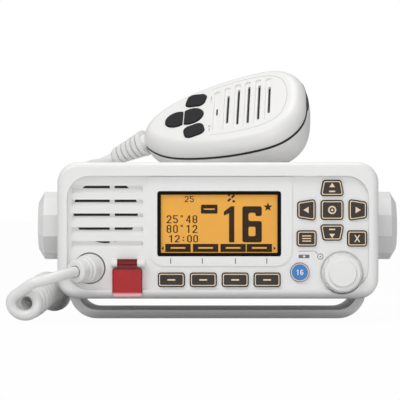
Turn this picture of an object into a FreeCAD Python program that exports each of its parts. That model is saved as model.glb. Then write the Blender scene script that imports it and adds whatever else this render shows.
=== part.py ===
import FreeCAD, Part
import math
import os

import Sketcher
from FreeCAD import Placement, Rotation, Vector

# A fixed-mount marine radio in its U bracket, with its hand microphone resting on top.
# Millimetres. X right, Y back, Z up. The origin is the centre of the bracket's base, on its underside.

DRIVING_SIZES = {
    "face_width": 156.5, "face_height": 66.5, "face_depth": 17, "face_corner": 10, "face_edge": 3.2,
    "face_middle_z": 44.2, "wall": 3, "skin": 2.5, "recess_depth": 3, "recess_width": 147,
    "recess_low_z": 15.3, "recess_high_z": 70.8, "recess_corner": 11, "cavity_width": 146.6,
    "ledge_back": 4, "fit": 0.25, "gasket_thick": 1, "flange_thick": 3, "flange_slack": 0.3,
    "case_width": 135, "case_height": 55, "case_back": 110, "case_wall": 2.6, "case_corner": 5,
    "fin_count": 9, "fin_thick": 2, "fin_deep": 6, "fin_pitch": 7,
    "pivot_back": 50, "pivot_z": 46.2, "base_front": 33, "base_long": 56, "bracket_width": 148,
    "bracket_thick": 4.2, "bracket_bend": 14, "arm_long": 30, "arm_above": 15,
    "hole_span": 90, "hole_long": 36, "hole_radius": 2.6, "washer_radius": 13, "washer_slack": 0.2,
    "clamp_radius": 17, "clamp_out": 90, "clamp_chamfer": 3, "clamp_sides": 10, "clamp_screw": 3,
    "screw_slack": 0.05, "insert_radius": 5.5, "insert_long": 10,
    "plate_left": -34, "plate_right": 36.1, "plate_low": 26.9, "plate_high": 70.4, "plate_raise": 0.6,
    "plate_corner": 8, "window_left": -29.1, "window_right": 30.3, "window_low": 31.8,
    "window_high": 62.9, "lens_thick": 1, "mask_thick": 0.4, "mask_border": 1.3, "module_thick": 7,
    "module_border": 3.5, "key_proud": 1.3, "key_flange": 0.8, "key_lip": 0.6, "key_travel": 0.8,
    "key_corner": 1.3, "key_edge": 0.4, "soft_width": 12.8, "soft_low": 16.8, "soft_high": 23.5,
    "soft_first_x": -22.7, "soft_pitch": 15.55, "pad_x": 55.6, "pad_z": 54.2, "enter_width": 10.8,
    "enter_height": 9.3, "up_z": 64.9, "down_z": 43.2, "updown_height": 7.5, "updown_wide": 11.5,
    "updown_narrow": 8.6, "side_reach": 12.5, "side_width": 8.6, "side_tall": 10.4, "side_short": 7.6,
    "corner_key_width": 9.4, "corner_key_height": 7.5, "menu_x": 43.2, "clear_x": 67.8,
    "corner_key_z": 40.3, "round_key_x": 39.9, "round_key_z": 23.8, "round_key_radius": 4.5,
    "mat_thick": 1, "board_thick": 1.6, "dial_x": 60.4, "dial_z": 23.6, "dial_radius": 9.9,
    "dial_high": 10, "dial_cap_radius": 6.8, "dial_notches": 10, "dial_notch_radius": 1.6,
    "dial_seam": 0.6, "dial_travel": 0.8, "spindle_radius": 3, "spindle_long": 9,
    "speaker_x": -54.8, "speaker_z": 53.8, "speaker_radius": 15.8, "louvre_left": -71.3,
    "louvre_right": -36.6, "louvre_top_z": 66, "louvre_pitch": 6.76, "louvre_high": 4.2,
    "louvre_deep": 1.8, "louvre_slot": 1.2, "louvre_count": 5, "rib_left": -52.8, "rib_right": -50.4,
    "cover_left": -51.4, "cover_right": -36.8, "cover_low": 11.9, "cover_high": 26, "cover_thick": 1.6,
    "cover_wall": 1.1, "barrel_radius": 2.1, "barrel_left": -48.9, "barrel_right": -39.4,
    "hinge_z": 28.3, "hinge_proud": 2.6, "pin_radius": 0.7, "pin_slack": 0.05, "lug_left": -51.9,
    "lug_right": -35.6, "distress_radius": 2.9, "gland_x": -62.5, "gland_z": 25.8, "gland_radius": 7,
    "wire_radius": 2.6, "coil_radius": 5.65, "coil_pitch": 6.0,
    "mic_x": -36, "mic_back": 61, "mic_z": 88.5, "mic_yaw": -12.6, "mic_pitch": -12.4, "mic_roll": 37.7,
    "mic_long": 85, "mic_wide": 60, "mic_front": 9, "mic_rear": 13.6, "mic_rear_slope": 0.08,
    "mic_wall": 2, "mic_seal": 1.2, "mic_key_raise": 0.7, "slot_first": 40, "slot_pitch": 5.43,
    "slot_count": 6, "slot_width": 1.3, "grille_middle": 56, "grille_radius": 16.5,
    "socket_radius": 7.94, "button_u": 42, "button_radius": 8, "button_high": 9.3,
}

doc = FreeCAD.newDocument("marine_radio")
sheet = doc.addObject("Spreadsheet::Sheet", "Sizes")
for row, (alias, number) in enumerate(DRIVING_SIZES.items(), start=1):
    sheet.set(f"A{row}", alias.replace("_", " "))
    sheet.set(f"B{row}", f"{number:g}")
    sheet.setAlias(f"B{row}", alias)
doc.recompute()


class Size:
    """A value of the sheet, or one worked out from such values, with the expression that says how."""

    def __init__(self, value, text):
        self.value = value
        self.text = text

    def __add__(self, other):
        return Size(self.value + amount(other), f"({self.text} + {words(other)})")

    def __radd__(self, other):
        return self + other

    def __sub__(self, other):
        return Size(self.value - amount(other), f"({self.text} - {words(other)})")

    def __rsub__(self, other):
        return Size(amount(other) - self.value, f"({words(other)} - {self.text})")

    def __mul__(self, other):
        return Size(self.value * amount(other), f"({self.text} * {words(other)})")

    def __rmul__(self, other):
        return self * other

    def __truediv__(self, other):
        return Size(self.value / amount(other), f"({self.text} / {words(other)})")

    def __neg__(self):
        return Size(-self.value, f"(0 - {self.text})")


def amount(x):
    return x.value if isinstance(x, Size) else float(x)


def words(x):
    return x.text if isinstance(x, Size) else f"({x:g})"


class Sheet:
    """Gives each alias of the sheet as a Size."""

    def __getattr__(self, alias):
        return Size(float(sheet.get(alias)), f"Sizes.{alias}")


s = Sheet()


def bind(item, name, size):
    """Sets a property from a Size through an expression, or from a plain number."""
    if isinstance(size, Size):
        item.setExpression(name, size.text)
    else:
        setattr(item, name, size)


def put(item, at, turn=None):
    """Places an object at a point whose coordinates may be Sizes, with an optional rotation."""
    item.Placement = Placement(Vector(*[amount(c) for c in at]), turn or Rotation())
    for letter, size in zip("xyz", at):
        if isinstance(size, Size):
            item.setExpression(f"Placement.Base.{letter}", size.text)


ALONG = {
    "x": Rotation(Vector(0, 1, 0), 90),
    "y": Rotation(Vector(1, 0, 0), -90),
    "z": Rotation(),
}


def block(name, low, high):
    """A block between two corners."""
    item = doc.addObject("Part::Box", name)
    for prop, a, b in zip(("Length", "Width", "Height"), low, high):
        bind(item, prop, b - a)
    put(item, low)
    return item


def rod(name, axis, at, radius, long):
    """A cylinder that starts at a point and runs along an axis."""
    item = doc.addObject("Part::Cylinder", name)
    bind(item, "Radius", radius)
    bind(item, "Height", long)
    put(item, at, ALONG[axis])
    return item


def cut(name, base, *tools):
    """The base without the tools."""
    item = doc.addObject("Part::Cut", name)
    item.Base = base
    item.Tool = tools[0] if len(tools) == 1 else fuse(f"{name}_tools", *tools)
    return item


def fuse(name, *pieces):
    """Several objects as one."""
    item = doc.addObject("Part::MultiFuse", name)
    item.Shapes = list(pieces)
    return item


def ring(name, axis, at, outer, inner, long):
    """A tube between two radii."""
    return cut(name, rod(f"{name}_out", axis, at, outer, long), rod(f"{name}_bore", axis, at, inner, long))


def free_shape(name, shape):
    """A piece whose shape is worked out in this script from the sheet."""
    item = doc.addObject("Part::Feature", name)
    item.Shape = shape
    item.Placement = Placement()
    return item


def plane_of(body, role):
    return next(f for f in body.Origin.OriginFeatures if f.Role == role)


def polygon(sketch, corners):
    """A closed outline of straight lines whose corners are bound to the sheet."""
    points = [Vector(amount(a), amount(b), 0) for a, b in corners]
    first = sketch.GeometryCount
    for k, p in enumerate(points):
        sketch.addGeometry(Part.LineSegment(p, points[(k + 1) % len(points)]), False)
    for k in range(len(points)):
        following = first + (k + 1) % len(points)
        sketch.addConstraint(Sketcher.Constraint("Coincident", first + k, 2, following, 1))
    for k, corner in enumerate(corners):
        for kind, size in zip(("DistanceX", "DistanceY"), corner):
            limit = Sketcher.Constraint(kind, -1, 1, first + k, 1, amount(size))
            index = sketch.addConstraint(limit)
            if isinstance(size, Size):
                sketch.setExpression(f"Constraints[{index}]", size.text)


def face_body(name, corners, front, back):
    """A body of an upright outline in X and Z between two planes of depth, front being nearer."""
    body = doc.addObject("PartDesign::Body", name)
    sketch = body.newObject("Sketcher::SketchObject", f"{name}_outline")
    sketch.AttachmentSupport = [(plane_of(body, "XZ_Plane"), "")]
    sketch.MapMode = "FlatFace"
    if isinstance(back, Size):
        sketch.setExpression("AttachmentOffset.Base.z", (-back).text)
    else:
        sketch.AttachmentOffset = Placement(Vector(0, 0, -back), Rotation())
    polygon(sketch, corners)
    pad = body.newObject("PartDesign::Pad", f"{name}_pad")
    pad.Profile = sketch
    bind(pad, "Length", back - front)
    sketch.Visibility = False
    doc.recompute()
    return body


def turned_body(name, profile, place, turn):
    """A body turned about its own X axis from a profile of (along, out) corners."""
    body = doc.addObject("PartDesign::Body", name)
    sketch = body.newObject("Sketcher::SketchObject", f"{name}_profile")
    sketch.AttachmentSupport = [(plane_of(body, "XY_Plane"), "")]
    sketch.MapMode = "FlatFace"
    polygon(sketch, profile)
    spin = body.newObject("PartDesign::Revolution", f"{name}_turned")
    spin.Profile = sketch
    spin.ReferenceAxis = (sketch, ["H_Axis"])
    spin.Angle = 360
    put(body, place, turn)
    doc.recompute()
    return body


def edges_where(feature, test):
    return [f"Edge{k + 1}" for k, e in enumerate(feature.Shape.Edges) if test(e)]


def lies_along(axis):
    """A test for straight edges along an axis."""

    def test(edge):
        ends = [v.Point for v in edge.Vertexes]
        if len(ends) != 2 or edge.Curve.TypeId != "Part::GeomLine":
            return False
        run = ends[1] - ends[0]
        return abs(getattr(run, axis)) > 0.999 * run.Length
    return test


def lies_at(axis, size):
    """A test for edges in the plane where a coordinate has a value."""
    return lambda edge: all(abs(getattr(v.Point, axis) - amount(size)) < 0.001 for v in edge.Vertexes)


def round_off(body, test, radius, only=None):
    """Rounds the edges of a body's tip that pass the test."""
    base = body.Tip
    names = edges_where(base, lambda e: test(e) and (only is None or only(e)))
    fillet = body.newObject("PartDesign::Fillet", f"{body.Name}_round_{len(body.Group)}")
    fillet.Base = (base, names)
    bind(fillet, "Radius", radius)
    doc.recompute()
    return body


def oblong(left, right, low, high):
    return [(left, low), (right, low), (right, high), (left, high)]


nodes = {}


def keep(name, item):
    """Marks an object as a finished sub-part."""
    item.Label = name
    nodes[name] = item
    return item


# Planes of depth, measured from the front of the face.
face_y = -(s.base_front + s.base_long / 2)


def back(distance):
    """The Y of a plane that lies this far behind the front of the face."""
    return face_y + distance


floor_y = back(s.recess_depth)
skin_y = floor_y + s.skin
face_back_y = back(s.face_depth)
seat_y = face_back_y - s.ledge_back
flange_y = seat_y + s.gasket_thick
pivot_y = back(s.pivot_back)
case_end_y = back(s.case_back)
plate_y = floor_y - s.plate_raise
face_low_z = s.face_middle_z - s.face_height / 2
face_high_z = s.face_middle_z + s.face_height / 2
case_low_z = s.face_middle_z - s.case_height / 2
case_high_z = s.face_middle_z + s.case_height / 2
seat_half_x = s.face_width / 2 - s.wall
seat_low_z = face_low_z + s.wall
seat_high_z = face_high_z - s.wall
cavity_low_z = seat_low_z + 2
cavity_high_z = seat_high_z - 2
boss_x = s.cavity_width / 2 - 2.2
boss_low_z = cavity_low_z + 2.2
boss_high_z = cavity_high_z - 2.2


def key_outline(x, z, low_half, high_half, left_half, right_half, grow=0):
    """A key's corners: half widths at its bottom and top, half heights at its left and right."""
    return [
        (x - low_half - grow, z - left_half - grow), (x + low_half + grow, z - right_half - grow),
        (x + high_half + grow, z + right_half + grow), (x - high_half - grow, z + left_half + grow),
    ]


def key_sizes():
    """Each front key's centre and half sizes."""
    soft_half = s.soft_width / 2
    soft_tall = (s.soft_high - s.soft_low) / 2
    soft_z = (s.soft_high + s.soft_low) / 2
    wide, narrow, tall = s.updown_wide / 2, s.updown_narrow / 2, s.updown_height / 2
    side, long_side, short_side = s.side_width / 2, s.side_tall / 2, s.side_short / 2
    corner_wide, corner_tall = s.corner_key_width / 2, s.corner_key_height / 2
    keys = {
        "key_up": (s.pad_x, s.up_z, wide, narrow, tall, tall),
        "key_down": (s.pad_x, s.down_z, narrow, wide, tall, tall),
        "key_left": (s.pad_x - s.side_reach, s.pad_z, side, side, short_side, long_side),
        "key_right": (s.pad_x + s.side_reach, s.pad_z, side, side, long_side, short_side),
        "key_enter": (s.pad_x, s.pad_z, s.enter_width / 2, s.enter_width / 2,
                      s.enter_height / 2, s.enter_height / 2),
        "key_menu": (s.menu_x, s.corner_key_z, corner_wide, corner_wide, corner_tall, corner_tall),
        "key_clear": (s.clear_x, s.corner_key_z, corner_wide, corner_wide, corner_tall, corner_tall),
    }
    for k in range(4):
        x = s.soft_first_x + k * s.soft_pitch
        keys[f"soft_key_{k + 1}"] = (x, soft_z, soft_half, soft_half, soft_tall, soft_tall)
    return keys


def make_keys():
    """The eleven shaped front keys, each with a lip behind the panel that holds it in."""
    holes = []
    for name, sizes in key_sizes().items():
        front_y = floor_y - s.key_proud
        lip_y = skin_y + 0.1
        cap = face_body(f"{name}_cap", key_outline(*sizes), front_y, lip_y + s.key_flange)
        round_off(cap, lies_along("y"), s.key_corner)
        round_off(cap, lies_at("y", front_y), s.key_edge)
        lip = face_body(f"{name}_lip", key_outline(*sizes, grow=s.key_lip), lip_y, lip_y + s.key_flange)
        keep(name, fuse(f"{name}_piece", cap, lip))
        hole = face_body(f"{name}_hole", key_outline(*sizes, grow=s.fit), floor_y - 1, skin_y + 1)
        round_off(hole, lies_along("y"), s.key_corner + s.fit)
        holes.append(hole)
    at = (s.round_key_x, floor_y - s.key_proud, s.round_key_z)
    lip_y = skin_y + 0.1
    cap = rod("round_key_cap", "y", at, s.round_key_radius, s.key_proud + s.recess_depth + 0.4)
    bind(cap, "Height", lip_y + s.key_flange - at[1])
    lip = rod("round_key_lip", "y", (at[0], lip_y, at[2]), s.round_key_radius + s.key_lip, s.key_flange)
    keep("key_channel_16", fuse("round_key_piece", cap, lip))
    hole = rod("round_key_hole", "y", (at[0], floor_y - 1, at[2]), s.round_key_radius + s.fit, s.skin + 2)
    return holes + [hole]


def make_front_panel(key_holes):
    """The moulded front: rim, recessed floor, display plate, louvres, lugs and every opening."""
    half = s.face_width / 2
    shell = face_body("panel_shell", oblong(-half, half, face_low_z, face_high_z), face_y, face_back_y)
    round_off(shell, lies_along("y"), s.face_corner)
    round_off(shell, lies_at("y", face_y), s.face_edge)
    recess_half = s.recess_width / 2
    recess = face_body("panel_recess", oblong(-recess_half, recess_half, s.recess_low_z, s.recess_high_z),
                       face_y - 1, floor_y)
    round_off(recess, lies_along("y"), s.recess_corner)
    seat = face_body("panel_seat", oblong(-seat_half_x, seat_half_x, seat_low_z, seat_high_z),
                     seat_y, face_back_y + 1)
    round_off(seat, lies_along("y"), s.face_corner - s.wall)
    cavity_half = s.cavity_width / 2
    cavity = face_body("panel_cavity", oblong(-cavity_half, cavity_half, cavity_low_z, cavity_high_z),
                       skin_y, seat_y + 1)
    round_off(cavity, lies_along("y"), s.face_corner - s.wall - 1)
    plate = face_body("panel_plate", oblong(s.plate_left, s.plate_right, s.plate_low, s.plate_high),
                      plate_y, floor_y + 0.5)
    low_corner = lambda e: e.Vertexes[0].Point.z < amount(s.plate_low) + 0.01
    round_off(plate, lies_along("y"), s.plate_corner, low_corner)
    bosses = [rod(f"panel_boss_{k}", "y", (side * boss_x, skin_y - 0.5, z), 3, seat_y - skin_y + 0.5)
              for k, (side, z) in enumerate(boss_places())]
    lugs = []
    for side, left, right in (("left", s.lug_left, s.barrel_left - 0.2), ("right", s.barrel_right + 0.2, s.lug_right)):
        lugs.append(rod(f"lug_{side}_eye", "x", (left, floor_y - s.hinge_proud, s.hinge_z), s.barrel_radius,
                        right - left))
        lugs.append(block(f"lug_{side}_foot", (left, floor_y - s.hinge_proud, s.hinge_z - s.barrel_radius),
                          (right, floor_y + 0.5, s.hinge_z + s.barrel_radius)))
    hollowed = cut("panel_hollowed", shell, recess, seat, cavity)
    solid = fuse("panel_solid", hollowed, plate, *bosses, *lugs)
    window = block("panel_window", (s.window_left - s.fit, plate_y - 1, s.window_low - s.fit),
                   (s.window_right + s.fit, skin_y + 1, s.window_high + s.fit))
    pin_at = (s.lug_left + 0.8, floor_y - s.hinge_proud, s.hinge_z)
    pin_hole = rod("lug_pin_hole", "x", pin_at, s.pin_radius, s.lug_right - s.lug_left - 1.6)
    gland_hole = rod("gland_hole", "y", (s.gland_x, floor_y - 1, s.gland_z), s.gland_radius + s.fit, s.skin + 2)
    dial_hole = rod("dial_hole", "y", (s.dial_x, floor_y - 1, s.dial_z), s.spindle_radius + 1, s.skin + 2)
    dial_dish = ring("dial_dish", "y", (s.dial_x, floor_y - 1, s.dial_z),
                     s.dial_radius + s.dial_seam, s.dial_radius - 1.2, 1.7)
    dial_room = rod("dial_room", "y", (s.dial_x, face_y - 1, s.dial_z), s.dial_radius + s.dial_seam,
                    s.recess_depth + 1)
    button_hole = rod("distress_hole", "y", (distress_x(), floor_y - 1, distress_z()),
                      s.distress_radius + s.fit, s.skin + 2)
    screw_holes = [rod(f"boss_bore_{k}", "y", (side * boss_x, seat_y - 5, z), 1.25, 6)
                   for k, (side, z) in enumerate(boss_places())]
    tools = [window, pin_hole, gland_hole, dial_hole, dial_dish, dial_room, button_hole, *screw_holes, *key_holes,
             *louvre_tools()]
    keep("front_panel", cut("front_panel_piece", solid, *tools))


def boss_places():
    return [(-1, boss_low_z), (1, boss_low_z), (-1, boss_high_z), (1, boss_high_z)]


def distress_x():
    return (s.cover_left + s.cover_right) / 2


def distress_z():
    return (s.recess_low_z + s.cover_high) / 2 + 0.3


def louvre_tools():
    """Sloped troughs, and behind their upper edges the slots into the round speaker opening."""
    troughs, slots = [], []
    count = int(s.louvre_count.value)
    for k in range(count):
        top = s.louvre_top_z - k * s.louvre_pitch
        body = doc.addObject("PartDesign::Body", f"louvre_{k}")
        sketch = body.newObject("Sketcher::SketchObject", f"louvre_{k}_section")
        sketch.AttachmentSupport = [(plane_of(body, "YZ_Plane"), "")]
        sketch.MapMode = "FlatFace"
        sketch.setExpression("AttachmentOffset.Base.z", s.louvre_left.text)
        polygon(sketch, [(floor_y - 0.5, top), (floor_y + s.louvre_deep, top),
                         (floor_y + s.louvre_deep, top - s.louvre_slot), (floor_y - 0.5, top - s.louvre_high)])
        pad = body.newObject("PartDesign::Pad", f"louvre_{k}_pad")
        pad.Profile = sketch
        bind(pad, "Length", s.louvre_right - s.louvre_left)
        doc.recompute()
        troughs.append(body)
        for side, left, right in (("a", s.louvre_left, s.rib_left), ("b", s.rib_right, s.louvre_right)):
            slots.append(block(f"louvre_slot_{k}{side}", (left, floor_y, top - s.louvre_slot),
                               (right, skin_y + 1, top)))
    circle = rod("speaker_opening", "y", (s.speaker_x, floor_y - 1, s.speaker_z), s.speaker_radius, s.skin + 3)
    opening = doc.addObject("Part::Common", "speaker_slots")
    opening.Base = circle
    opening.Tool = fuse("louvre_slots", *slots)
    return troughs + [opening]


def make_display():
    """Lens, printed mask and the module with its glass, from the front to the back."""
    left, right, low, high = s.window_left, s.window_right, s.window_low, s.window_high
    lens = face_body("lens_plate", oblong(left, right, low, high), plate_y, plate_y + s.lens_thick)
    keep("display_lens", round_off(lens, lies_along("y"), 0.8))
    mask_y = plate_y + s.lens_thick
    border = s.mask_border
    outer = block("mask_outer", (left, mask_y, low), (right, mask_y + s.mask_thick, high))
    inner = block("mask_inner", (left + border, mask_y - 1, low + border),
                  (right - border, mask_y + 1, high - border))
    keep("display_mask", cut("mask_piece", outer, inner))
    glass_y = mask_y + s.mask_thick
    glass = block("module_glass", (left, glass_y, low), (right, skin_y + 0.1, high))
    edge = s.module_border
    frame = block("module_frame", (left - edge, skin_y + 0.1, low - edge),
                  (right + edge, skin_y + s.module_thick - 1.2, high + edge))
    keep("lcd_module", fuse("module_piece", glass, frame))


def make_boards():
    """The rubber mat behind the keys, its circuit board, the main board and the gasket."""
    lip_end = skin_y + 0.1 + s.key_flange
    mat_y = lip_end + s.key_travel + 0.1
    right = s.cavity_width / 2 - 0.3
    edge = s.module_border + 0.3

    def with_window(name, front, thick, left):
        sheet_block = block(f"{name}_sheet", (left, front, cavity_low_z + 0.3),
                            (right, front + thick, cavity_high_z - 0.3))
        window = block(f"{name}_window", (s.window_left - edge, front - 1, s.window_low - edge),
                       (s.window_right + edge, front + thick + 1, s.window_high + edge))
        corners = [rod(f"{name}_corner_{k}", "y", (boss_x, front - 1, z), 4.2, thick + 2)
                   for k, z in enumerate((boss_low_z, boss_high_z))]
        encoder = rod(f"{name}_shaft", "y", (s.dial_x, front - 1, s.dial_z), s.spindle_radius + 0.5, thick + 2)
        return keep(name, cut(f"{name}_piece", sheet_block, window, encoder, *corners))

    with_window("keypad_mat", mat_y, s.mat_thick, s.window_left - edge - 1)
    board_y = mat_y + s.mat_thick + 0.05
    with_window("key_circuit_board", board_y, s.board_thick, s.window_left - edge - 1)
    encoder = block("encoder_block", (s.dial_x - 6, board_y + s.board_thick, s.dial_z - 6),
                    (s.dial_x + 6, board_y + s.board_thick + 4, s.dial_z + 6))
    bore = rod("encoder_bore", "y", (s.dial_x, board_y, s.dial_z), s.spindle_radius + s.pin_slack, 8)
    keep("dial_encoder", cut("encoder_piece", encoder, bore))
    side = s.case_width / 2 - s.case_wall
    slab_z = case_low_z + 12
    keep("main_circuit_board", block("main_board", (-side + 0.3, flange_y + s.flange_thick, slab_z),
                                     (side - 0.3, case_end_y - s.fin_deep - 12, slab_z + s.board_thick)))
    outer = seated_plate("gasket_outer", seat_y, flange_y)
    half = s.cavity_width / 2
    inner = block("gasket_inner", (-half + 5, seat_y - 1, cavity_low_z + 1),
                  (half - 5, flange_y + 1, cavity_high_z - 1))
    bores = [rod(f"gasket_bore_{k}", "y", (side_x * boss_x, seat_y - 1, z), 1.6, s.gasket_thick + 2)
             for k, (side_x, z) in enumerate(boss_places())]
    keep("front_gasket", cut("gasket_piece", outer, inner, *bores))


def seated_plate(name, front, rear):
    """A plate with rounded corners that drops into the seat in the back of the panel."""
    slack = s.flange_slack
    corners = oblong(-seat_half_x + slack, seat_half_x - slack, seat_low_z + slack, seat_high_z - slack)
    return round_off(face_body(name, corners, front, rear), lies_along("y"), s.face_corner - s.wall)


def make_chassis():
    """The die-cast case: a flange that seats in the panel, a hollow body and cooling fins."""
    half = s.case_width / 2
    body = face_body("case_shell", oblong(-half, half, case_low_z, case_high_z),
                     flange_y + s.flange_thick - 1, case_end_y - s.fin_deep)
    round_off(body, lies_along("y"), s.case_corner)
    flange = seated_plate("case_flange", flange_y, flange_y + s.flange_thick)
    fins = []
    count = int(s.fin_count.value)
    for k in range(count):
        x = (k - (count - 1) / 2) * s.fin_pitch - s.fin_thick / 2
        fins.append(block(f"case_fin_{k}", (x, case_end_y - s.fin_deep - 1, case_low_z + 8),
                          (x + s.fin_thick, case_end_y, case_high_z - 8)))
    solid = fuse("case_solid", body, flange, *fins)
    wall = s.case_wall
    hollow = block("case_hollow", (-half + wall, flange_y - 1, case_low_z + wall),
                   (half - wall, case_end_y - s.fin_deep - 4, case_high_z - wall))
    inserts = [rod(f"case_insert_{side}", "x", (x, pivot_y, s.pivot_z), s.insert_radius, s.insert_long + 1)
               for side, x in (("l", -half - 1), ("r", half - s.insert_long))]
    bosses = [rod(f"case_side_boss_{side}", "x", (x, pivot_y, s.pivot_z), s.insert_radius + 2, s.insert_long)
              for side, x in (("l", -half), ("r", half - s.insert_long))]
    bores = [rod(f"flange_bore_{k}", "y", (side * boss_x, flange_y - 1, z), 1.6, s.flange_thick + 2)
             for k, (side, z) in enumerate(boss_places())]
    shelled = cut("case_shelled", solid, hollow)
    bossed = fuse("case_bossed", shelled, *bosses)
    rear = [rod(f"case_rear_hole_{k}", "y", (x, case_end_y - s.fin_deep - 8, z), radius + 0.05, 12)
            for k, (x, z, radius) in enumerate(rear_places())]
    keep("chassis", cut("case_piece", bossed, *inserts, *bores, *rear))
    threads = [ring(f"insert_{side}", "x", (x, pivot_y, s.pivot_z), s.insert_radius,
                    s.clamp_screw + s.screw_slack, s.insert_long)
               for side, x in (("l", -half), ("r", half - s.insert_long))]
    keep("pivot_inserts", fuse("inserts_piece", *threads))
    screws = []
    for k, (side, z) in enumerate(boss_places()):
        shank = rod(f"screw_shank_{k}", "y", (side * boss_x, seat_y - 4.5, z), 1.25,
                    flange_y + s.flange_thick - seat_y + 4.5)
        head = rod(f"screw_head_{k}", "y", (side * boss_x, flange_y + s.flange_thick, z), 2.6, 1.8)
        socket = rod(f"screw_socket_{k}", "y", (side * boss_x, flange_y + s.flange_thick + 0.7, z), 1.2, 2)
        screws.append(cut(f"screw_{k}", fuse(f"screw_solid_{k}", shank, head), socket))
    compound = doc.addObject("Part::Compound", "case_screws_set")
    compound.Links = screws
    keep("case_screws", compound)


def rear_places():
    """Rear openings outside the fins: the aerial socket, then the cable inlets."""
    return [(s.case_width / 2 - 17, s.face_middle_z, s.socket_radius), (-s.case_width / 2 + 14, s.face_middle_z + 9, 5),
            (-s.case_width / 2 + 14, s.face_middle_z - 9, 5)]


def make_rear():
    """The aerial socket and two cable inlets. Their leads aren't in the photograph."""
    wall_y = case_end_y - s.fin_deep
    x, z, radius = rear_places()[0]
    profile = [(-4, 0), (-4, radius - 0.2), (0, radius - 0.2), (0, radius + 2), (2, radius + 2),
               (2, radius), (15, radius), (15, 3.4), (6, 3.4), (6, 1.2), (14, 1.2), (14, 0)]
    body = turned_body("aerial_socket", profile, (x, wall_y, z), Rotation(Vector(0, 0, 1), 90))
    keep("antenna_connector", body)
    glands = []
    for k, (x, z, radius) in enumerate(rear_places()[1:]):
        foot = rod(f"inlet_foot_{k}", "y", (x, wall_y - 3.9, z), radius - 0.1, 4.9)
        collar = rod(f"inlet_collar_{k}", "y", (x, wall_y, z), radius + 2, 3)
        tip = doc.addObject("Part::Cone", f"inlet_tip_{k}")
        bind(tip, "Radius1", radius)
        tip.Radius2 = 3.4
        tip.Height = 7
        put(tip, (x, wall_y + 2.5, z), ALONG["y"])
        bore = rod(f"inlet_bore_{k}", "y", (x, wall_y - 5, z), 2.4, 20)
        glands.append(cut(f"inlet_{k}", fuse(f"inlet_solid_{k}", foot, collar, tip), bore))
    compound = doc.addObject("Part::Compound", "rear_glands_set")
    compound.Links = glands
    keep("rear_glands", compound)


def make_speaker():
    """A round loudspeaker behind a disc of mesh."""
    mesh_y = skin_y + 0.05
    radius = s.speaker_radius + 0.5
    keep("speaker_mesh", rod("mesh_disc", "y", (s.speaker_x, mesh_y, s.speaker_z), radius, 0.4))
    rim_y = mesh_y + 0.45
    rim = rod("speaker_rim", "y", (s.speaker_x, rim_y, s.speaker_z), radius, 2)
    cone = doc.addObject("Part::Cone", "speaker_cone")
    bind(cone, "Radius1", radius - 1)
    cone.Radius2 = 9
    cone.Height = 5
    put(cone, (s.speaker_x, rim_y + 1.5, s.speaker_z), ALONG["y"])
    magnet = rod("speaker_magnet", "y", (s.speaker_x, rim_y + 6, s.speaker_z), 9, 5)
    keep("speaker", fuse("speaker_piece", rim, cone, magnet))


def make_distress():
    """The red button, and the hinged cover over it with its pin."""
    x, z = distress_x(), distress_z()
    stem = rod("distress_stem", "y", (x, floor_y - 1.6, z), s.distress_radius, 1)
    bind(stem, "Height", skin_y + 0.9 - floor_y + 1.6)
    lip = rod("distress_lip", "y", (x, skin_y + 0.1, z), s.distress_radius + s.key_lip, s.key_flange)
    keep("distress_button", fuse("distress_button_piece", stem, lip))
    hinge_y = floor_y - s.hinge_proud
    front_y = face_y - 0.2 - s.cover_thick
    plate = face_body("cover_plate", oblong(s.cover_left, s.cover_right, s.cover_low, s.cover_high),
                      front_y, front_y + s.cover_thick)
    round_off(plate, lies_along("y"), 1.4)
    round_off(plate, lies_at("y", front_y), 0.6)
    wall = s.cover_wall
    skirt_low = s.recess_low_z + 1.2
    skirt_out = block("cover_skirt_out", (s.cover_left + 0.5, front_y + s.cover_thick - 0.4, skirt_low),
                      (s.cover_right - 0.5, floor_y - 0.25, s.cover_high - 0.6))
    skirt_in = block("cover_skirt_in", (s.cover_left + 0.5 + wall, front_y + s.cover_thick, skirt_low + wall),
                     (s.cover_right - 0.5 - wall, floor_y + 1, s.cover_high - 0.6 - wall))
    barrel = rod("cover_barrel", "x", (s.barrel_left, hinge_y, s.hinge_z), s.barrel_radius,
                 s.barrel_right - s.barrel_left)
    neck = block("cover_neck", (s.barrel_left, front_y + 0.4, s.cover_high - 1.5),
                 (s.barrel_right, hinge_y + 0.6, s.hinge_z - 0.5))
    pin_bore = rod("cover_pin_bore", "x", (s.barrel_left - 1, hinge_y, s.hinge_z),
                   s.pin_radius + s.pin_slack, s.barrel_right - s.barrel_left + 2)
    skirt = cut("cover_skirt", skirt_out, skirt_in)
    keep("distress_cover", cut("cover_piece", fuse("cover_solid", plate, skirt, barrel, neck), pin_bore))
    keep("distress_hinge_pin", rod("hinge_pin", "x", (s.lug_left + 0.8, hinge_y, s.hinge_z), s.pin_radius,
                                   s.lug_right - s.lug_left - 1.6))


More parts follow.
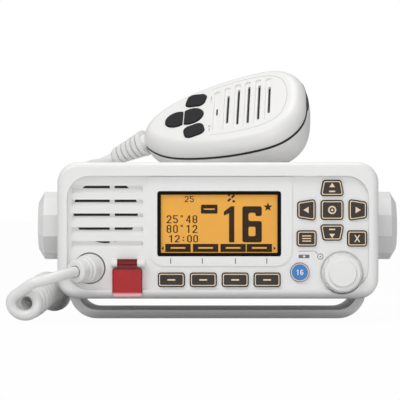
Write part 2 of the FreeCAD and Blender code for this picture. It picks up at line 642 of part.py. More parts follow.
def make_dial():
    """A dial with notches round its edge, on a spindle that turns and pushes in the encoder."""
    front_y = floor_y - s.dial_high
    gap = s.dial_travel + 0.3
    long = s.dial_high - gap
    body = doc.addObject("PartDesign::Body", "dial_body")
    sketch = body.newObject("Sketcher::SketchObject", "dial_profile")
    sketch.AttachmentSupport = [(plane_of(body, "XY_Plane"), "")]
    sketch.MapMode = "FlatFace"
    radius, cap, bore = s.dial_radius, s.dial_cap_radius, s.spindle_radius + s.pin_slack
    profile = [(0, 0), (0, cap - 0.5), (0.5, cap), (1.6, cap), (1.6, radius - 1.4), (3, radius - 0.6),
               (long, radius), (long, radius - 1.6), (long - 5, radius - 2.6), (long - 5, s.spindle_radius + 1.6),
               (long, s.spindle_radius + 1.6), (long, bore), (3, bore), (3, 0)]
    polygon(sketch, profile)
    spin = body.newObject("PartDesign::Revolution", "dial_turned")
    spin.Profile = sketch
    spin.ReferenceAxis = (sketch, ["H_Axis"])
    spin.Angle = 360
    put(body, (s.dial_x, front_y, s.dial_z), Rotation(Vector(0, 0, 1), 90))
    doc.recompute()
    notches = []
    count = int(s.dial_notches.value)
    for k in range(count):
        turn = 2 * math.pi * (k + 0.5) / count
        reach = s.dial_radius + s.dial_notch_radius * 0.45
        at = (s.dial_x + reach * math.sin(turn), front_y + 1, s.dial_z + reach * math.cos(turn))
        notches.append(rod(f"dial_notch_{k}", "y", at, s.dial_notch_radius, long - 3))
    keep("volume_dial", cut("dial_piece", body, *notches))
    spindle_at = (s.dial_x, front_y + 3 + s.pin_slack, s.dial_z)
    keep("dial_spindle", rod("spindle", "y", spindle_at, s.spindle_radius, 1))
    bind(nodes["dial_spindle"], "Height", s.dial_high - 3 + s.skin + s.spindle_long)


def make_gland():
    """The stepped collar that the microphone cord leaves through, turned out and to the left."""
    spot = (s.gland_x, floor_y, s.gland_z)
    foot = rod("gland_foot", "y", (s.gland_x, floor_y - 1.2, s.gland_z), s.gland_radius, s.skin + 2.2)
    washer = rod("gland_nut", "y", (s.gland_x, skin_y + 0.1, s.gland_z), s.gland_radius + 0.7, 2)
    point = Vector(*[amount(c) for c in spot])
    line = gland_line()
    turn = Rotation(Vector(0, 0, 1), line)
    start = point - line * 1.0
    rings = []
    for k, (near, far, radius) in enumerate(((0, 5.2, 6.7), (5, 7.6, 5.9), (7.4, 12.9, 5.5))):
        wide = Part.makeCylinder(radius, far - near, start + line * near, line)
        edge = [e for e in wide.Edges if e.Curve.TypeId == "Part::GeomCircle"
                and (e.Curve.Center - start).dot(line) > far - 0.1]
        rings.append(wide.makeFillet(0.7, edge))
    collar = rings[0].fuse(rings[1:])
    half_space = Part.makeBox(60, 30, 60, Vector(point.x - 30, amount(floor_y), point.z - 30))
    bore = Part.makeCylinder(s.wire_radius.value + 0.4, 0.8, start + line * 12.1, line)
    tip = free_shape("gland_collar", collar.cut(half_space).cut(bore))
    keep("cord_gland", fuse("gland_piece", foot, washer, tip))


def gland_line():
    """The direction in which the cord leaves the front panel."""
    return Vector(-0.56, -0.82, -0.12).normalize()


def gland_mouth():
    """The bottom of the gland's socket, where the lead starts."""
    return Vector(s.gland_x.value, floor_y.value, s.gland_z.value) + gland_line() * (12.1 - 1.0)


def make_bracket():
    """A U bracket: base with four screw holes, two arms, and toothless washers on its inner faces."""
    half, thick = s.bracket_width / 2, s.bracket_thick
    front, rear = back(s.base_front), back(s.base_front + s.base_long)
    top = s.pivot_z + s.arm_above
    outer = face_body("bracket_outer", oblong(-half, half, 0, top), front, rear)
    round_off(outer, lies_along("y"), s.bracket_bend,
              lambda e: e.Vertexes[0].Point.z < 0.01)
    inner = face_body("bracket_inner", oblong(-half + thick, half - thick, thick, top + 1),
                      front - 1, rear + 1)
    round_off(inner, lies_along("y"), s.bracket_bend - thick,
              lambda e: e.Vertexes[0].Point.z < amount(thick) + 0.01)
    arm_front, arm_rear = pivot_y - s.arm_long / 2, pivot_y + s.arm_long / 2
    low = s.bracket_bend + 6
    ahead = block("bracket_ahead", (-half - 1, front - 1, low), (half + 1, arm_front, top + 1))
    behind = block("bracket_behind", (-half - 1, arm_rear, low), (half + 1, rear + 1, top + 1))
    holes = [rod(f"bracket_hole_{k}", "z", (sx * s.hole_span / 2, sy * s.hole_long / 2, -1),
                 s.hole_radius, thick + 2)
             for k, (sx, sy) in enumerate(((-1, -1), (1, -1), (-1, 1), (1, 1)))]
    pivot = rod("bracket_pivot_hole", "x", (-half - 1, pivot_y, s.pivot_z), s.clamp_screw + 0.3,
                s.bracket_width + 2)
    rounders = []
    for side, x in (("l", -half - 0.5), ("r", half - thick - 0.5)):
        ear = block(f"ear_block_{side}", (x, arm_front - 1, s.pivot_z), (x + thick + 1, arm_rear + 1, top + 2))
        disc = rod(f"ear_disc_{side}", "x", (x - 1, pivot_y, s.pivot_z), s.arm_long / 2, thick + 3)
        rounders.append(cut(f"ear_round_{side}", ear, disc))
    keep("mounting_bracket", cut("bracket_piece", outer, inner, ahead, behind, pivot, *holes, *rounders))
    case_half = s.case_width / 2
    thickness = half - thick - case_half - s.washer_slack
    washers = [ring(f"washer_{side}", "x", (x, pivot_y, s.pivot_z), s.washer_radius,
                    s.clamp_screw + 0.3, thickness)
               for side, x in (("l", -half + thick), ("r", case_half + s.washer_slack))]
    keep("pivot_washers", fuse("washers_piece", *washers))


def make_clamps():
    """Two knobs with flat sides and a screw each, which clamp the radio between the arms."""
    half = s.bracket_width / 2
    for side, sign in (("left", -1), ("right", 1)):
        inner = half + 0.2
        long = s.clamp_out - inner
        knob = doc.addObject("Part::Prism", f"{side}_knob_prism")
        knob.Polygon = int(s.clamp_sides.value)
        bind(knob, "Circumradius", s.clamp_radius)
        bind(knob, "Height", long)
        start = inner if sign > 0 else -s.clamp_out
        put(knob, (start, pivot_y, s.pivot_z), Rotation(Vector(0, 1, 0), 90))
        doc.recompute()
        rounded = doc.addObject("Part::Chamfer", f"{side}_knob_piece")
        rounded.Base = knob
        outer_x = sign * s.clamp_out.value
        names = [k + 1 for k, e in enumerate(knob.Shape.Edges)
                 if all(abs(v.Point.x - outer_x) < 0.001 for v in e.Vertexes)]
        rounded.Edges = [(k, s.clamp_chamfer.value, s.clamp_chamfer.value * 1.6) for k in names]
        doc.recompute()
        socket = rod(f"{side}_knob_socket", "x", (start - 1, pivot_y, s.pivot_z), s.clamp_screw, long + 2)
        bind(socket, "Height", long - 3)
        put(socket, ((start - 1) if sign > 0 else (start + 4), pivot_y, s.pivot_z), ALONG["x"])
        keep(f"{side}_clamp_knob", cut(f"{side}_knob_bored", rounded, socket))
        screw_long = long - 4.2 + half - s.case_width / 2 + s.insert_long - 1
        end = s.case_width / 2 - s.insert_long + 1
        screw_start = end if sign > 0 else -(end + screw_long)
        keep(f"{side}_clamp_screw", rod(f"{side}_screw", "x", (screw_start, pivot_y, s.pivot_z),
                                        s.clamp_screw, screw_long))


# The microphone is built in its own directions: U along its length from the cord end, V across it,
# W out of its face, and then placed as it lies on the case.
MIC = Placement(Vector(s.mic_x.value, back(s.mic_back).value, s.mic_z.value),
                Rotation(s.mic_yaw.value, s.mic_pitch.value, s.mic_roll.value))
OUTLINE = ((0.0, 0.0), (0.04, 0.3), (0.14, 0.58), (0.3, 0.8), (0.5, 0.95), (0.7, 1.0), (0.86, 0.92),
           (0.96, 0.64), (1.0, 0.0))


def mic_wire(inset, height, slope=0.0):
    """The microphone's outline, drawn in by an inset, at a height that may slope along its length."""
    long, half = s.mic_long.value, s.mic_wide.value / 2
    upper = [(inset + u * (long - 2 * inset), v * (half - inset)) for u, v in OUTLINE]
    points = upper + [(u, -v) for u, v in reversed(upper[1:-1])]
    spline = Part.BSplineCurve()
    spline.interpolate(Points=[Vector(u, v, height + slope * u) for u, v in points], PeriodicFlag=True)
    return Part.Wire(spline.toShape())


def mic_loft(steps):
    return Part.makeLoft([mic_wire(*step) for step in steps], True, False)


def in_place(name, shape):
    """A finished microphone piece, placed with the microphone."""
    item = doc.addObject("Part::Feature", f"{name}_piece")
    item.Shape = shape
    item.Placement = MIC
    keep(name, item)


def mic_keys():
    """Each key of the microphone as (name, middle U, middle V, half length, half width, lean)."""
    return [
        ("mic_key_high", 28.8, 13.2, 5.2, 4.9, -12),
        ("mic_key_low", 28.8, -13.2, 5.2, 4.9, 12),
        ("mic_key_channel_up", 28.2, 0.0, 5.0, 5.4, 0),
        ("mic_key_channel_down", 17.6, 0.0, 4.6, 5.4, 0),
    ]


def mic_key_solid(name, u, v, half_long, half_wide, lean, grow, low, high):
    """A key as a rounded block; the channel pair are the two ends of one oval."""
    base = Vector(u, v, low)
    if "channel" in name:
        side = 1 if name.endswith("up") else -1
        flat = u - side * half_long
        tip = u + side * half_long
        left = Vector(flat - side * grow, -half_wide - grow, low)
        right = Vector(flat - side * grow, half_wide + grow, low)
        far = Vector(tip + side * grow, 0, low)
        edges = [Part.LineSegment(left, right).toShape(), Part.Arc(right, far, left).toShape()]
        solid = Part.Face(Part.Wire(edges)).extrude(Vector(0, 0, high - low))
    else:
        solid = Part.makeBox(2 * (half_long + grow), 2 * (half_wide + grow), high - low,
                             Vector(-half_long - grow, -half_wide - grow, 0))
        sides = [e for e in solid.Edges if abs(e.Vertexes[0].Point.z - e.Vertexes[1].Point.z) > 0.1]
        solid = solid.makeFillet(3.2 + grow, sides)
        solid.Placement = Placement(base, Rotation(Vector(0, 0, 1), lean))
    return solid


def make_microphone():
    """Shells, seal, grille, board, speaker, hanger button, boot, screws, bar and keys."""
    wall, half_seal = s.mic_wall.value, s.mic_seal.value / 2
    high = s.mic_front.value
    front = mic_loft([(0, half_seal), (0.5, high * 0.5), (2.6, high * 0.86), (6.5, high)])
    front_in = mic_loft([(wall, half_seal - 0.2), (wall + 0.6, high * 0.45), (4.6, high - wall)])
    deep, slope = s.mic_rear.value, -s.mic_rear_slope.value
    rear = mic_loft([(0, -half_seal), (0.7, -deep * 0.42, slope * 0.42), (4.2, -deep * 0.8, slope * 0.8),
                     (11.5, -deep, slope)])
    rear_in = mic_loft([(wall, 0.2 - half_seal), (wall + 0.9, -deep * 0.4, slope * 0.4),
                        (13.5, -deep + wall, slope)])
    face = high
    keys = [mic_key_solid(*key, 0.25, high - wall - 2, high + 2) for key in mic_keys()]
    slots, troughs = mic_slots(face)
    opened = front.cut(front_in).cut(Part.makeCompound(keys + slots + troughs))
    bar = mic_bar(0.3)
    boot_hole = boot_room()
    in_place("mic_front_shell", opened.cut(bar).cut(boot_hole))
    hollow = rear.cut(rear_in)
    screws = [Part.makeCylinder(1.2, 9, Vector(u, v, -deep + 6 + slope * u), Vector(0, 0, 1))
              .fuse(Part.makeCylinder(2.4, 2.4, Vector(u, v, -deep + 4 + slope * u), Vector(0, 0, 1)))
              for u, v in ((20, 13), (20, -13), (66, 16), (66, -16))]
    wells = [Part.makeCylinder(2.5, 40, Vector(u, v, -deep + 6.4 + slope * u), Vector(0, 0, -1))
             for u, v in ((20, 13), (20, -13), (66, 16), (66, -16))]
    posts = [Part.makeCylinder(3.6, deep - 3, Vector(u, v, -deep + 2.4 + slope * u), Vector(0, 0, 1))
             for u, v in ((20, 13), (20, -13), (66, 16), (66, -16))]
    body = hollow.fuse([post.common(rear) for post in posts]).cut(Part.makeCompound(wells + screws))
    in_place("mic_rear_shell", body.cut(bar).cut(boot_hole))
    in_place("mic_screws", Part.makeCompound(screws))
    seal = mic_loft([(-0.15, -half_seal), (-0.15, half_seal)]).cut(mic_loft([(4.2, -2), (4.2, 2)]))
    in_place("mic_seal", seal.cut(bar).cut(boot_hole))
    in_place("mic_ptt_button", mic_bar(0))
    for key in mic_keys():
        solid = mic_key_solid(*key, 0, high - wall - 0.9, high + s.mic_key_raise.value)
        top = [e for e in solid.Edges if all(v.Point.z > high + 0.3 for v in e.Vertexes)]
        in_place(key[0], solid.makeFillet(0.3, top))
    middle = s.grille_middle.value
    in_place("mic_grille_mesh", Part.makeCylinder(s.grille_radius.value, 0.4, Vector(middle, 0, high - wall - 0.6)))
    cone = Part.makeCylinder(s.grille_radius.value, 3, Vector(middle, 0, high - wall - 3.7))
    magnet = Part.makeCylinder(8, 4, Vector(middle, 0, high - wall - 7.6))
    in_place("mic_speaker", cone.fuse(magnet))
    board = Part.makeBox(22, 26, 1.2, Vector(15, -13, high - wall - 4.2))
    in_place("mic_circuit_board", board)
    level = -deep + slope * s.button_u.value
    stem = Part.makeCylinder(4.6, s.button_high.value - 2.2, Vector(s.button_u.value, 0, level), Vector(0, 0, -1))
    head = Part.makeCylinder(s.button_radius.value, 2.6,
                             Vector(s.button_u.value, 0, level - s.button_high.value + 2.6), Vector(0, 0, -1))
    button = stem.fuse(head.makeFillet(0.9, head.Edges)).cut(rear)
    in_place("mic_hanger_button", button)


def mic_slots(face):
    """Troughs in the face, and slots through it inside the round opening of the grille."""
    slots, troughs = [], []
    reach = s.grille_radius.value - 0.5
    for k in range(int(s.slot_count.value)):
        u = s.slot_first.value + k * s.slot_pitch.value
        half = 19.5 - 0.25 * (k - 3) ** 2
        trough = Part.makeBox(2.9, 2 * half, 1.0, Vector(u - 1.45, -half, face - 0.75))
        troughs.append(trough.makeFillet(1.2, [e for e in trough.Edges
                       if abs(e.Vertexes[0].Point.z - e.Vertexes[1].Point.z) > 0.5]))
        chord = reach ** 2 - (u - s.grille_middle.value) ** 2
        if chord > 4:
            run = math.sqrt(chord)
            wide = s.slot_width.value
            slots.append(Part.makeBox(wide, 2 * run, 6, Vector(u - 0.2, -run, face - 5)))
    return slots, troughs


def mic_bar(grow):
    """The push-to-talk bar in the microphone's upper side, or the opening for it."""
    out, deep = (-3, 3) if grow else (-1.3, 1.6)
    outer = mic_loft([(out, -4.2 - grow), (out, 3.6 + grow)])
    inner = mic_loft([(deep, -9), (deep, 9)])
    zone = Part.makeBox(36 + 2 * grow, 40, 20, Vector(20 - grow, 12, -10))
    return outer.cut(inner).common(zone)


def boot_room():
    """The socket that the boot sits in, in the microphone's own directions."""
    line = MIC.Rotation.inverted().multVec(boot_line())
    neck = Part.makeCylinder(4.2, 8, line * -3.5, line)
    return neck.fuse(Part.makeCylinder(6.7, 12, line * 0.1, line))


def boot_line():
    """The direction in which the boot points away from the microphone, in the part's frame."""
    return Vector(-0.80, 0.47, -0.36).normalize()


def boot_tip():
    return MIC.Base + boot_line() * 21


def make_boot():
    """A tapered boot with ribs, bent down and back from the microphone's narrow end."""
    start, line = MIC.Base - boot_line() * 3.4, boot_line()
    profile = [(0, 0), (0, 4.1), (3.6, 4.1), (3.6, 6.6), (5.8, 6.6)]
    for k in range(5):
        near, radius = 6.8 + k * 3.3, 6.2 - k * 0.42
        profile += [(near - 1, radius - 1.5), (near, radius - 1.5), (near, radius), (near + 2.3, radius - 0.2)]
    profile += [(24.4, 3.0), (24.4, 0)]
    points = [Vector(a, b, 0) for a, b in profile]
    outline = Part.Wire(Part.makePolygon(points + points[:1]))
    solid = Part.Face(outline).revolve(Vector(), Vector(1, 0, 0), 360)
    solid.Placement = Placement(start, Rotation(Vector(1, 0, 0), line))
    item = doc.addObject("Part::Feature", "boot_piece")
    item.Shape = solid
    keep("mic_boot", item)


# The cord. Each lead is a list of points chosen by hand, behind the front of the face in Y.
FRONT_LEAD = ((-77.2, -15.5, 22.4), (-82.5, -17.5, 20.7))
COIL_ROUTE = ((-93.5, -15.0, 9.0), (-90.5, -3.0, 9.6), (-86.5, 20.0, 14.4), (-84.4, 42.0, 15.4),
              (-84.4, 66.0, 11.6), (-84.8, 90.0, 9.0), (-84.8, 108.0, 9.0))
REAR_LEAD = ((-79.1, 107.0, 42.0), (-76.7, 100.5, 60.0), (-71.6, 92.5, 73.0),
             (-66.2, 83.5, 77.2))


def from_face(points):
    return [Vector(x, face_y.value + y, z) for x, y, z in points]


def tube_path(points):
    """Straight runs joined by tangent arcs, each as large as its two runs allow; prints the radii."""
    edges, at, radii = [], points[0], []
    for before, corner, after in zip(points, points[1:], points[2:]):
        toward, away = (corner - before), (after - corner)
        turn = toward.getAngle(away)
        short = min(toward.Length, away.Length)
        radius = 0.45 * short / math.tan(turn / 2)
        radii.append(radius)
        inward, outward = toward.normalize(), away.normalize()
        reach = 0.45 * short
        start, end = corner - inward * reach, corner + outward * reach
        middle = corner + (outward - inward).normalize() * (radius / math.cos(turn / 2) - radius)
        edges.append(Part.LineSegment(at, start).toShape())
        edges.append(Part.Arc(start, middle, end).toShape())
        at = end
    edges.append(Part.LineSegment(at, points[-1]).toShape())
    print("arc radii", [round(r, 1) for r in radii])
    return Part.Wire(edges)


def tube(path):
    """A solid tube of the wire's section along a path."""
    first = path.Edges[0]
    start = first.valueAt(first.FirstParameter)
    circle = Part.makeCircle(s.wire_radius.value, start, first.tangentAt(first.FirstParameter))
    solid = path.makePipeShell([Part.Wire(circle)], True, False)
    share = solid.Volume / (math.pi * s.wire_radius.value ** 2 * path.Length)
    print("tube volume over section times length", round(share, 4), "length", round(path.Length, 1))
    return solid


def coil_centre():
    """The middle line of the coil."""
    curve = Part.BSplineCurve()
    curve.buildFromPoles(from_face(COIL_ROUTE), False, 2)
    return curve


def coil_points():
    """Points of the wire a quarter turn apart along the coil, with their directions."""
    curve = coil_centre()
    long = curve.length()
    quarters = 4 * int(long / s.coil_pitch.value - 0.5) + 3
    start_turn = math.radians(120)
    side, flare, eps = Vector(1, 0, 0), 0.22, 0.01

    def spot(quarter):
        along = long * quarter / quarters
        at = curve.parameterAtDistance(min(max(along, 0.0), long))
        centre, forward = curve.value(at), curve.tangent(at)[0]
        across = (side - forward * side.dot(forward)).normalize()
        up = across.cross(forward)
        angle = start_turn + quarter * math.pi / 2 - math.radians(30) * quarter / quarters
        widen = 1 + flare * max(0.0, 1 - quarter / 3.0)
        radius = s.coil_radius.value
        return centre + across * (radius * widen * math.cos(angle)) + up * (radius * math.sin(angle))

    points = []
    for quarter in range(quarters + 1):
        ahead, behind = spot(min(quarter + eps, quarters)), spot(max(quarter - eps, 0))
        points.append((spot(quarter), (ahead - behind).normalize()))
    return points


def biarc(a, a_line, b, b_line):
    """Two arcs that join two points in their directions."""
    gap = b - a
    both = a_line + b_line
    quad = 2 * (1 - a_line.dot(b_line))
    side = gap.dot(both)
    if quad < 1e-9:
        reach = gap.dot(gap) / (4 * gap.dot(b_line))
    else:
        reach = (-side + math.sqrt(side * side + quad * gap.dot(gap))) / quad
    joint = (a + a_line * reach + b - b_line * reach) * 0.5
    arcs = []
    for start, line, end in ((a, a_line, joint), (b, -b_line, joint)):
        chord = end - start
        turn = line.getAngle(chord)
        normal = (chord - line * chord.dot(line)).normalize()
        radius = chord.Length / (2 * math.sin(turn))
        centre = start + normal * radius
        middle = centre + ((start + end) * 0.5 - centre).normalize() * radius
        arcs.append((start, middle, end))
    first, second = arcs
    return [Part.Arc(*first).toShape(), Part.Arc(second[2], second[1], second[0]).toShape()]


def coil_ends():
    """Where the wire enters and leaves the coil, and its directions there."""
    points = coil_points()
    straight = 2 * s.wire_radius.value
    (first, first_line), (last, last_line) = points[0], points[-1]
    return first - first_line * straight, first_line, last + last_line * straight, last_line


def make_cord():
    """A lead from the gland to the coil, the coil, and a lead from the coil to the boot."""
    points = coil_points()
    enter, enter_line, leave, leave_line = coil_ends()
    edges = [Part.LineSegment(enter, points[0][0]).toShape()]
    for (a, a_line), (b, b_line) in zip(points, points[1:]):
        edges += biarc(a, a_line, b, b_line)
    edges.append(Part.LineSegment(points[-1][0], leave).toShape())
    coil = tube(Part.Wire(edges))
    keep("cord_coil", free_shape("coil_tube", coil))
    print("coil curls", round((len(points) - 1) / 4, 2), "least gap", round(least_gap(edges), 2))
    first = gland_mouth()
    route = [first, first + gland_line() * 6.2, *from_face(FRONT_LEAD), enter - enter_line * 5.4, enter]
    print("front lead corners", [[round(c, 1) for c in (p.x, p.y - face_y.value, p.z)] for p in route])
    print("coil starts along", [round(c, 2) for c in enter_line])
    keep("cord_front_lead", free_shape("front_lead_tube", tube(tube_path(route))))
    tip = boot_tip()
    before_tip = tip + boot_line() * 9
    route = [leave, leave + leave_line * 10, *from_face(REAR_LEAD), before_tip, tip]
    print("rear lead corners", [[round(c, 1) for c in (p.x, p.y - face_y.value, p.z)] for p in route])
    print("coil ends along", [round(c, 2) for c in leave_line])
    keep("cord_rear_lead", free_shape("rear_lead_tube", tube(tube_path(route))))


def least_gap(edges):
    """The least gap between stretches of the coil's wire that are more than half a turn apart."""
    samples, along = [], 0.0
    for edge in edges:
        for k in range(4):
            at = edge.FirstParameter + (edge.LastParameter - edge.FirstParameter) * k / 4
            samples.append((along + edge.Length * k / 4, edge.valueAt(at)))
        along += edge.Length
    half_turn = math.pi * s.coil_radius.value
    full_turn = 2 * half_turn
    best = 1000.0
    for k, (here, p) in enumerate(samples):
        for there, q in samples[k + 1:]:
            if there - here > half_turn and there - here < 1.5 * full_turn:
                best = min(best, (p - q).Length)
    return best - 2 * s.wire_radius.value


key_holes = make_keys()
make_front_panel(key_holes)
make_display()
make_boards()
make_chassis()
make_rear()
make_speaker()
make_distress()
make_dial()
make_gland()
make_bracket()
make_clamps()
make_microphone()
make_boot()
make_cord()
doc.recompute()

failed = [item.Name for item in doc.Objects if "Invalid" in item.State or "Error" in item.State]
bad = [name for name, item in nodes.items() if item.Shape.isNull() or not item.Shape.isValid()]
if failed or bad:
    raise RuntimeError(f"failed objects {failed}, bad sub-parts {bad}")
os.makedirs("parts", exist_ok=True)
for name, item in nodes.items():
    item.Shape.exportStep(f"parts/{name}.step")
print("sub-parts", len(nodes))
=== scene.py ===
import math

import bpy
from mathutils import Matrix, Vector


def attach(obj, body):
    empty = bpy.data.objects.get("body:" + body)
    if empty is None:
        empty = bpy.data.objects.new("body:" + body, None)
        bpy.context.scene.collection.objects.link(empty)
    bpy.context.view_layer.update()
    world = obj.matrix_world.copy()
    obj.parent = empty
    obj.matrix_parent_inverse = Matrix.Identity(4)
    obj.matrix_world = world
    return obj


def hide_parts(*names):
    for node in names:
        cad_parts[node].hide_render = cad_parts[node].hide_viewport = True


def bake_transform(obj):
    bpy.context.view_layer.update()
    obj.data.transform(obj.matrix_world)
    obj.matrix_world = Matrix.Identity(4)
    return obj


# The looks of a marine radio in its bracket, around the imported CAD. Lists of places are in millimetres.

MM = 0.001
FACE_Y = -61.0    # the panel's foremost face, from which the cord's route is measured
FLOOR_Y = -58.0   # the panel's floor round the keys
PLATE_Y = -58.6   # the raised plate round the display
KEY_Y = -59.3     # the front keys' tops
GLASS_Y = -57.2   # the display's surface

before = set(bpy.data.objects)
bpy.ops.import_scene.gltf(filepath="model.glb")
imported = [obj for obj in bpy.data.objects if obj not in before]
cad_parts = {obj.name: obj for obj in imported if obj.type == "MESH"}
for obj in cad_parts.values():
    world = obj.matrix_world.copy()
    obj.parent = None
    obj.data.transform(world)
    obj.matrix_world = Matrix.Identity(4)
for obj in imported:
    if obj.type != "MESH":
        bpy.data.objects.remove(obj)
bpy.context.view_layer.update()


def added(name, data):
    """A new object that holds this data, in the scene."""
    item = bpy.data.objects.new(name, data)
    bpy.context.scene.collection.objects.link(item)
    return item


def mesh_of(curve):
    """The mesh that a curve makes."""
    holder = added(curve.name, curve)
    bpy.context.view_layer.update()
    seen = holder.evaluated_get(bpy.context.evaluated_depsgraph_get())
    mesh = bpy.data.meshes.new_from_object(seen)
    bpy.data.objects.remove(holder)
    return mesh


# Materials

TONE_SCALE = 60        # noise that varies the colour
GLOSS_SCALE = 180      # noise that varies the gloss
GRAIN_DEPTH = 0.2 * MM
RAMP_START, RAMP_END = 0.3, 0.7


def shader(name, colour, rough, **values):
    """A material with a plain shader, whose even values sit on the shader's own sockets."""
    mat = bpy.data.materials.new(name)
    mat.use_nodes = True
    node = mat.node_tree.nodes["Principled BSDF"]
    node.inputs["Base Color"].default_value = (*colour, 1)
    node.inputs["Roughness"].default_value = rough
    for socket, value in values.items():
        node.inputs[socket.replace("_", " ")].default_value = value
    return mat, mat.node_tree, node


def noise(tree, scale, detail=3.0, stretch=None):
    """A noise texture in the object's own coordinates, which stretch scales by axis."""
    source = tree.nodes.new("ShaderNodeTexCoord").outputs["Object"]
    if stretch:
        mapping = tree.nodes.new("ShaderNodeMapping")
        mapping.inputs["Scale"].default_value = stretch
        tree.links.new(source, mapping.inputs["Vector"])
        source = mapping.outputs["Vector"]
    texture = tree.nodes.new("ShaderNodeTexNoise")
    texture.inputs["Scale"].default_value = scale
    texture.inputs["Detail"].default_value = detail
    tree.links.new(source, texture.inputs["Vector"])
    return texture.outputs["Fac"]


def height(tree):
    """The height in the object's own coordinates."""
    where = tree.nodes.new("ShaderNodeTexCoord")
    parts = tree.nodes.new("ShaderNodeSeparateXYZ")
    tree.links.new(where.outputs["Object"], parts.inputs["Vector"])
    return parts.outputs["Z"]


def spread(tree, source, low, high, into, start=RAMP_START, end=RAMP_END):
    """The source between start and end, mapped to low and high."""
    ranged = tree.nodes.new("ShaderNodeMapRange")
    ranged.inputs["From Min"].default_value = start
    ranged.inputs["From Max"].default_value = end
    ranged.inputs["To Min"].default_value = low
    ranged.inputs["To Max"].default_value = high
    tree.links.new(source, ranged.inputs["Value"])
    tree.links.new(ranged.outputs["Result"], into)


def grained(name, colour, rough, grain=900, bump=0.03, tone=0.03, wear=0.05, stretch=None, **values):
    """Fine moulded grain, a slow change of tone and of gloss."""
    mat, tree, node = shader(name, colour, rough, **values)
    ramp = tree.nodes.new("ShaderNodeValToRGB")
    dark, light = ramp.color_ramp.elements
    dark.position = RAMP_START
    light.position = RAMP_END
    dark.color = (*[c * (1 - tone) for c in colour], 1)
    light.color = (*[min(1, c * (1 + tone)) for c in colour], 1)
    tree.links.new(noise(tree, TONE_SCALE, 4), ramp.inputs["Fac"])
    tree.links.new(ramp.outputs["Color"], node.inputs["Base Color"])
    spread(tree, noise(tree, GLOSS_SCALE, 3), rough - wear, rough + wear, node.inputs["Roughness"])
    push = tree.nodes.new("ShaderNodeBump")
    push.inputs["Strength"].default_value = bump
    push.inputs["Distance"].default_value = GRAIN_DEPTH
    tree.links.new(noise(tree, grain, 2, stretch), push.inputs["Height"])
    tree.links.new(push.outputs["Normal"], node.inputs["Normal"])
    return mat


def coloured_over(mat, colour, low, high, low_share, high_share, blend="MIX"):
    """A colour laid over the base colour, by shares that change between two heights in millimetres."""
    tree = mat.node_tree
    base = tree.nodes["Principled BSDF"].inputs["Base Color"]
    mix = tree.nodes.new("ShaderNodeMix")
    mix.data_type = "RGBA"
    mix.blend_type = blend
    spread(tree, height(tree), low_share, high_share, mix.inputs["Factor"], low * MM, high * MM)
    tree.links.new(base.links[0].from_socket, mix.inputs["A"])
    mix.inputs["B"].default_value = (*colour, 1)
    tree.links.new(mix.outputs["Result"], base)


def clear_lens(name):
    """Clear plastic with a faint gloss."""
    mat = bpy.data.materials.new(name)
    mat.use_nodes = True
    tree = mat.node_tree
    tree.nodes.remove(tree.nodes["Principled BSDF"])
    through = tree.nodes.new("ShaderNodeBsdfTransparent")
    gloss = tree.nodes.new("ShaderNodeBsdfGlossy")
    spread(tree, noise(tree, 40, 2), 0.08, 0.14, gloss.inputs["Roughness"])
    edge = tree.nodes.new("ShaderNodeFresnel")
    edge.inputs["IOR"].default_value = 1.06
    mix = tree.nodes.new("ShaderNodeMixShader")
    tree.links.new(edge.outputs["Fac"], mix.inputs["Fac"])
    tree.links.new(through.outputs["BSDF"], mix.inputs[1])
    tree.links.new(gloss.outputs["BSDF"], mix.inputs[2])
    tree.links.new(mix.outputs["Shader"], tree.nodes["Material Output"].inputs["Surface"])
    return mat


WHITE = (0.83, 0.83, 0.82)
panel_white = grained("panel_white", WHITE, 0.32, 1100, 0.04, 0.004, 0.012)
moulded_white = grained("moulded_white", WHITE, 0.32, 1000, 0.04, 0.005, 0.015)
mic_white = grained("mic_white", (0.82, 0.815, 0.8), 0.36, 1300, 0.05, 0.005, 0.015)
case_white = grained("case_white", (0.74, 0.74, 0.74), 0.42, 700, 0.14, 0.02)
bracket_white = grained("bracket_white", (0.84, 0.84, 0.845), 0.45, 700, 0.14, 0.02)
key_dark = grained("key_dark", (0.042, 0.036, 0.031), 0.55, 1400, 0.12, 0.08, Specular_IOR_Level=0.3)
key_blue = grained("key_blue", (0.028, 0.21, 0.56), 0.42, 1400, 0.08, 0.05)
mic_dark = grained("mic_dark", (0.006, 0.0065, 0.008), 0.5, 1200, 0.1, 0.08, Specular_IOR_Level=0.25)
rubber = grained("rubber", (0.014, 0.014, 0.015), 0.6, 900, 0.15, 0.1)
board = grained("board", (0.03, 0.15, 0.06), 0.45, 500, 0.05, 0.1)
cone_black = grained("cone_black", (0.012, 0.012, 0.012), 0.7, 1500, 0.3, 0.1)
steel = grained("steel", (0.55, 0.55, 0.55), 0.28, 600, 0.1, 0.03, stretch=(0.1, 1, 1), Metallic=1.0)
nickel = grained("nickel", (0.62, 0.6, 0.55), 0.2, 700, 0.05, 0.03, Metallic=1.0)
brass = grained("brass", (0.65, 0.47, 0.18), 0.28, 700, 0.05, 0.04, Metallic=1.0)
vinyl = grained("vinyl", (0.82, 0.82, 0.81), 0.3, 800, 0.05, 0.006, 0.02, Coat_Weight=0.15)
lcd = grained("lcd", (0.72, 0.34, 0.03), 0.5, 2500, 0.05, 0.03,
              Emission_Color=(0.78, 0.36, 0.03, 1), Emission_Strength=0.22)
ink = grained("ink", (0.03, 0.014, 0.003), 0.6, 900, 0.02, 0.05, Specular_IOR_Level=0.2)
black = grained("black", (0.002, 0.002, 0.002), 0.6, 900, 0.02, 0.05, Specular_IOR_Level=0.1)
cream = grained("cream", (0.86, 0.66, 0.45), 0.45, 900, 0.03, 0.03)
grey_print = grained("grey_print", (0.16, 0.16, 0.165), 0.5, 900, 0.02, 0.05)
pale_print = grained("pale_print", (0.5, 0.5, 0.5), 0.5, 900, 0.02, 0.05)
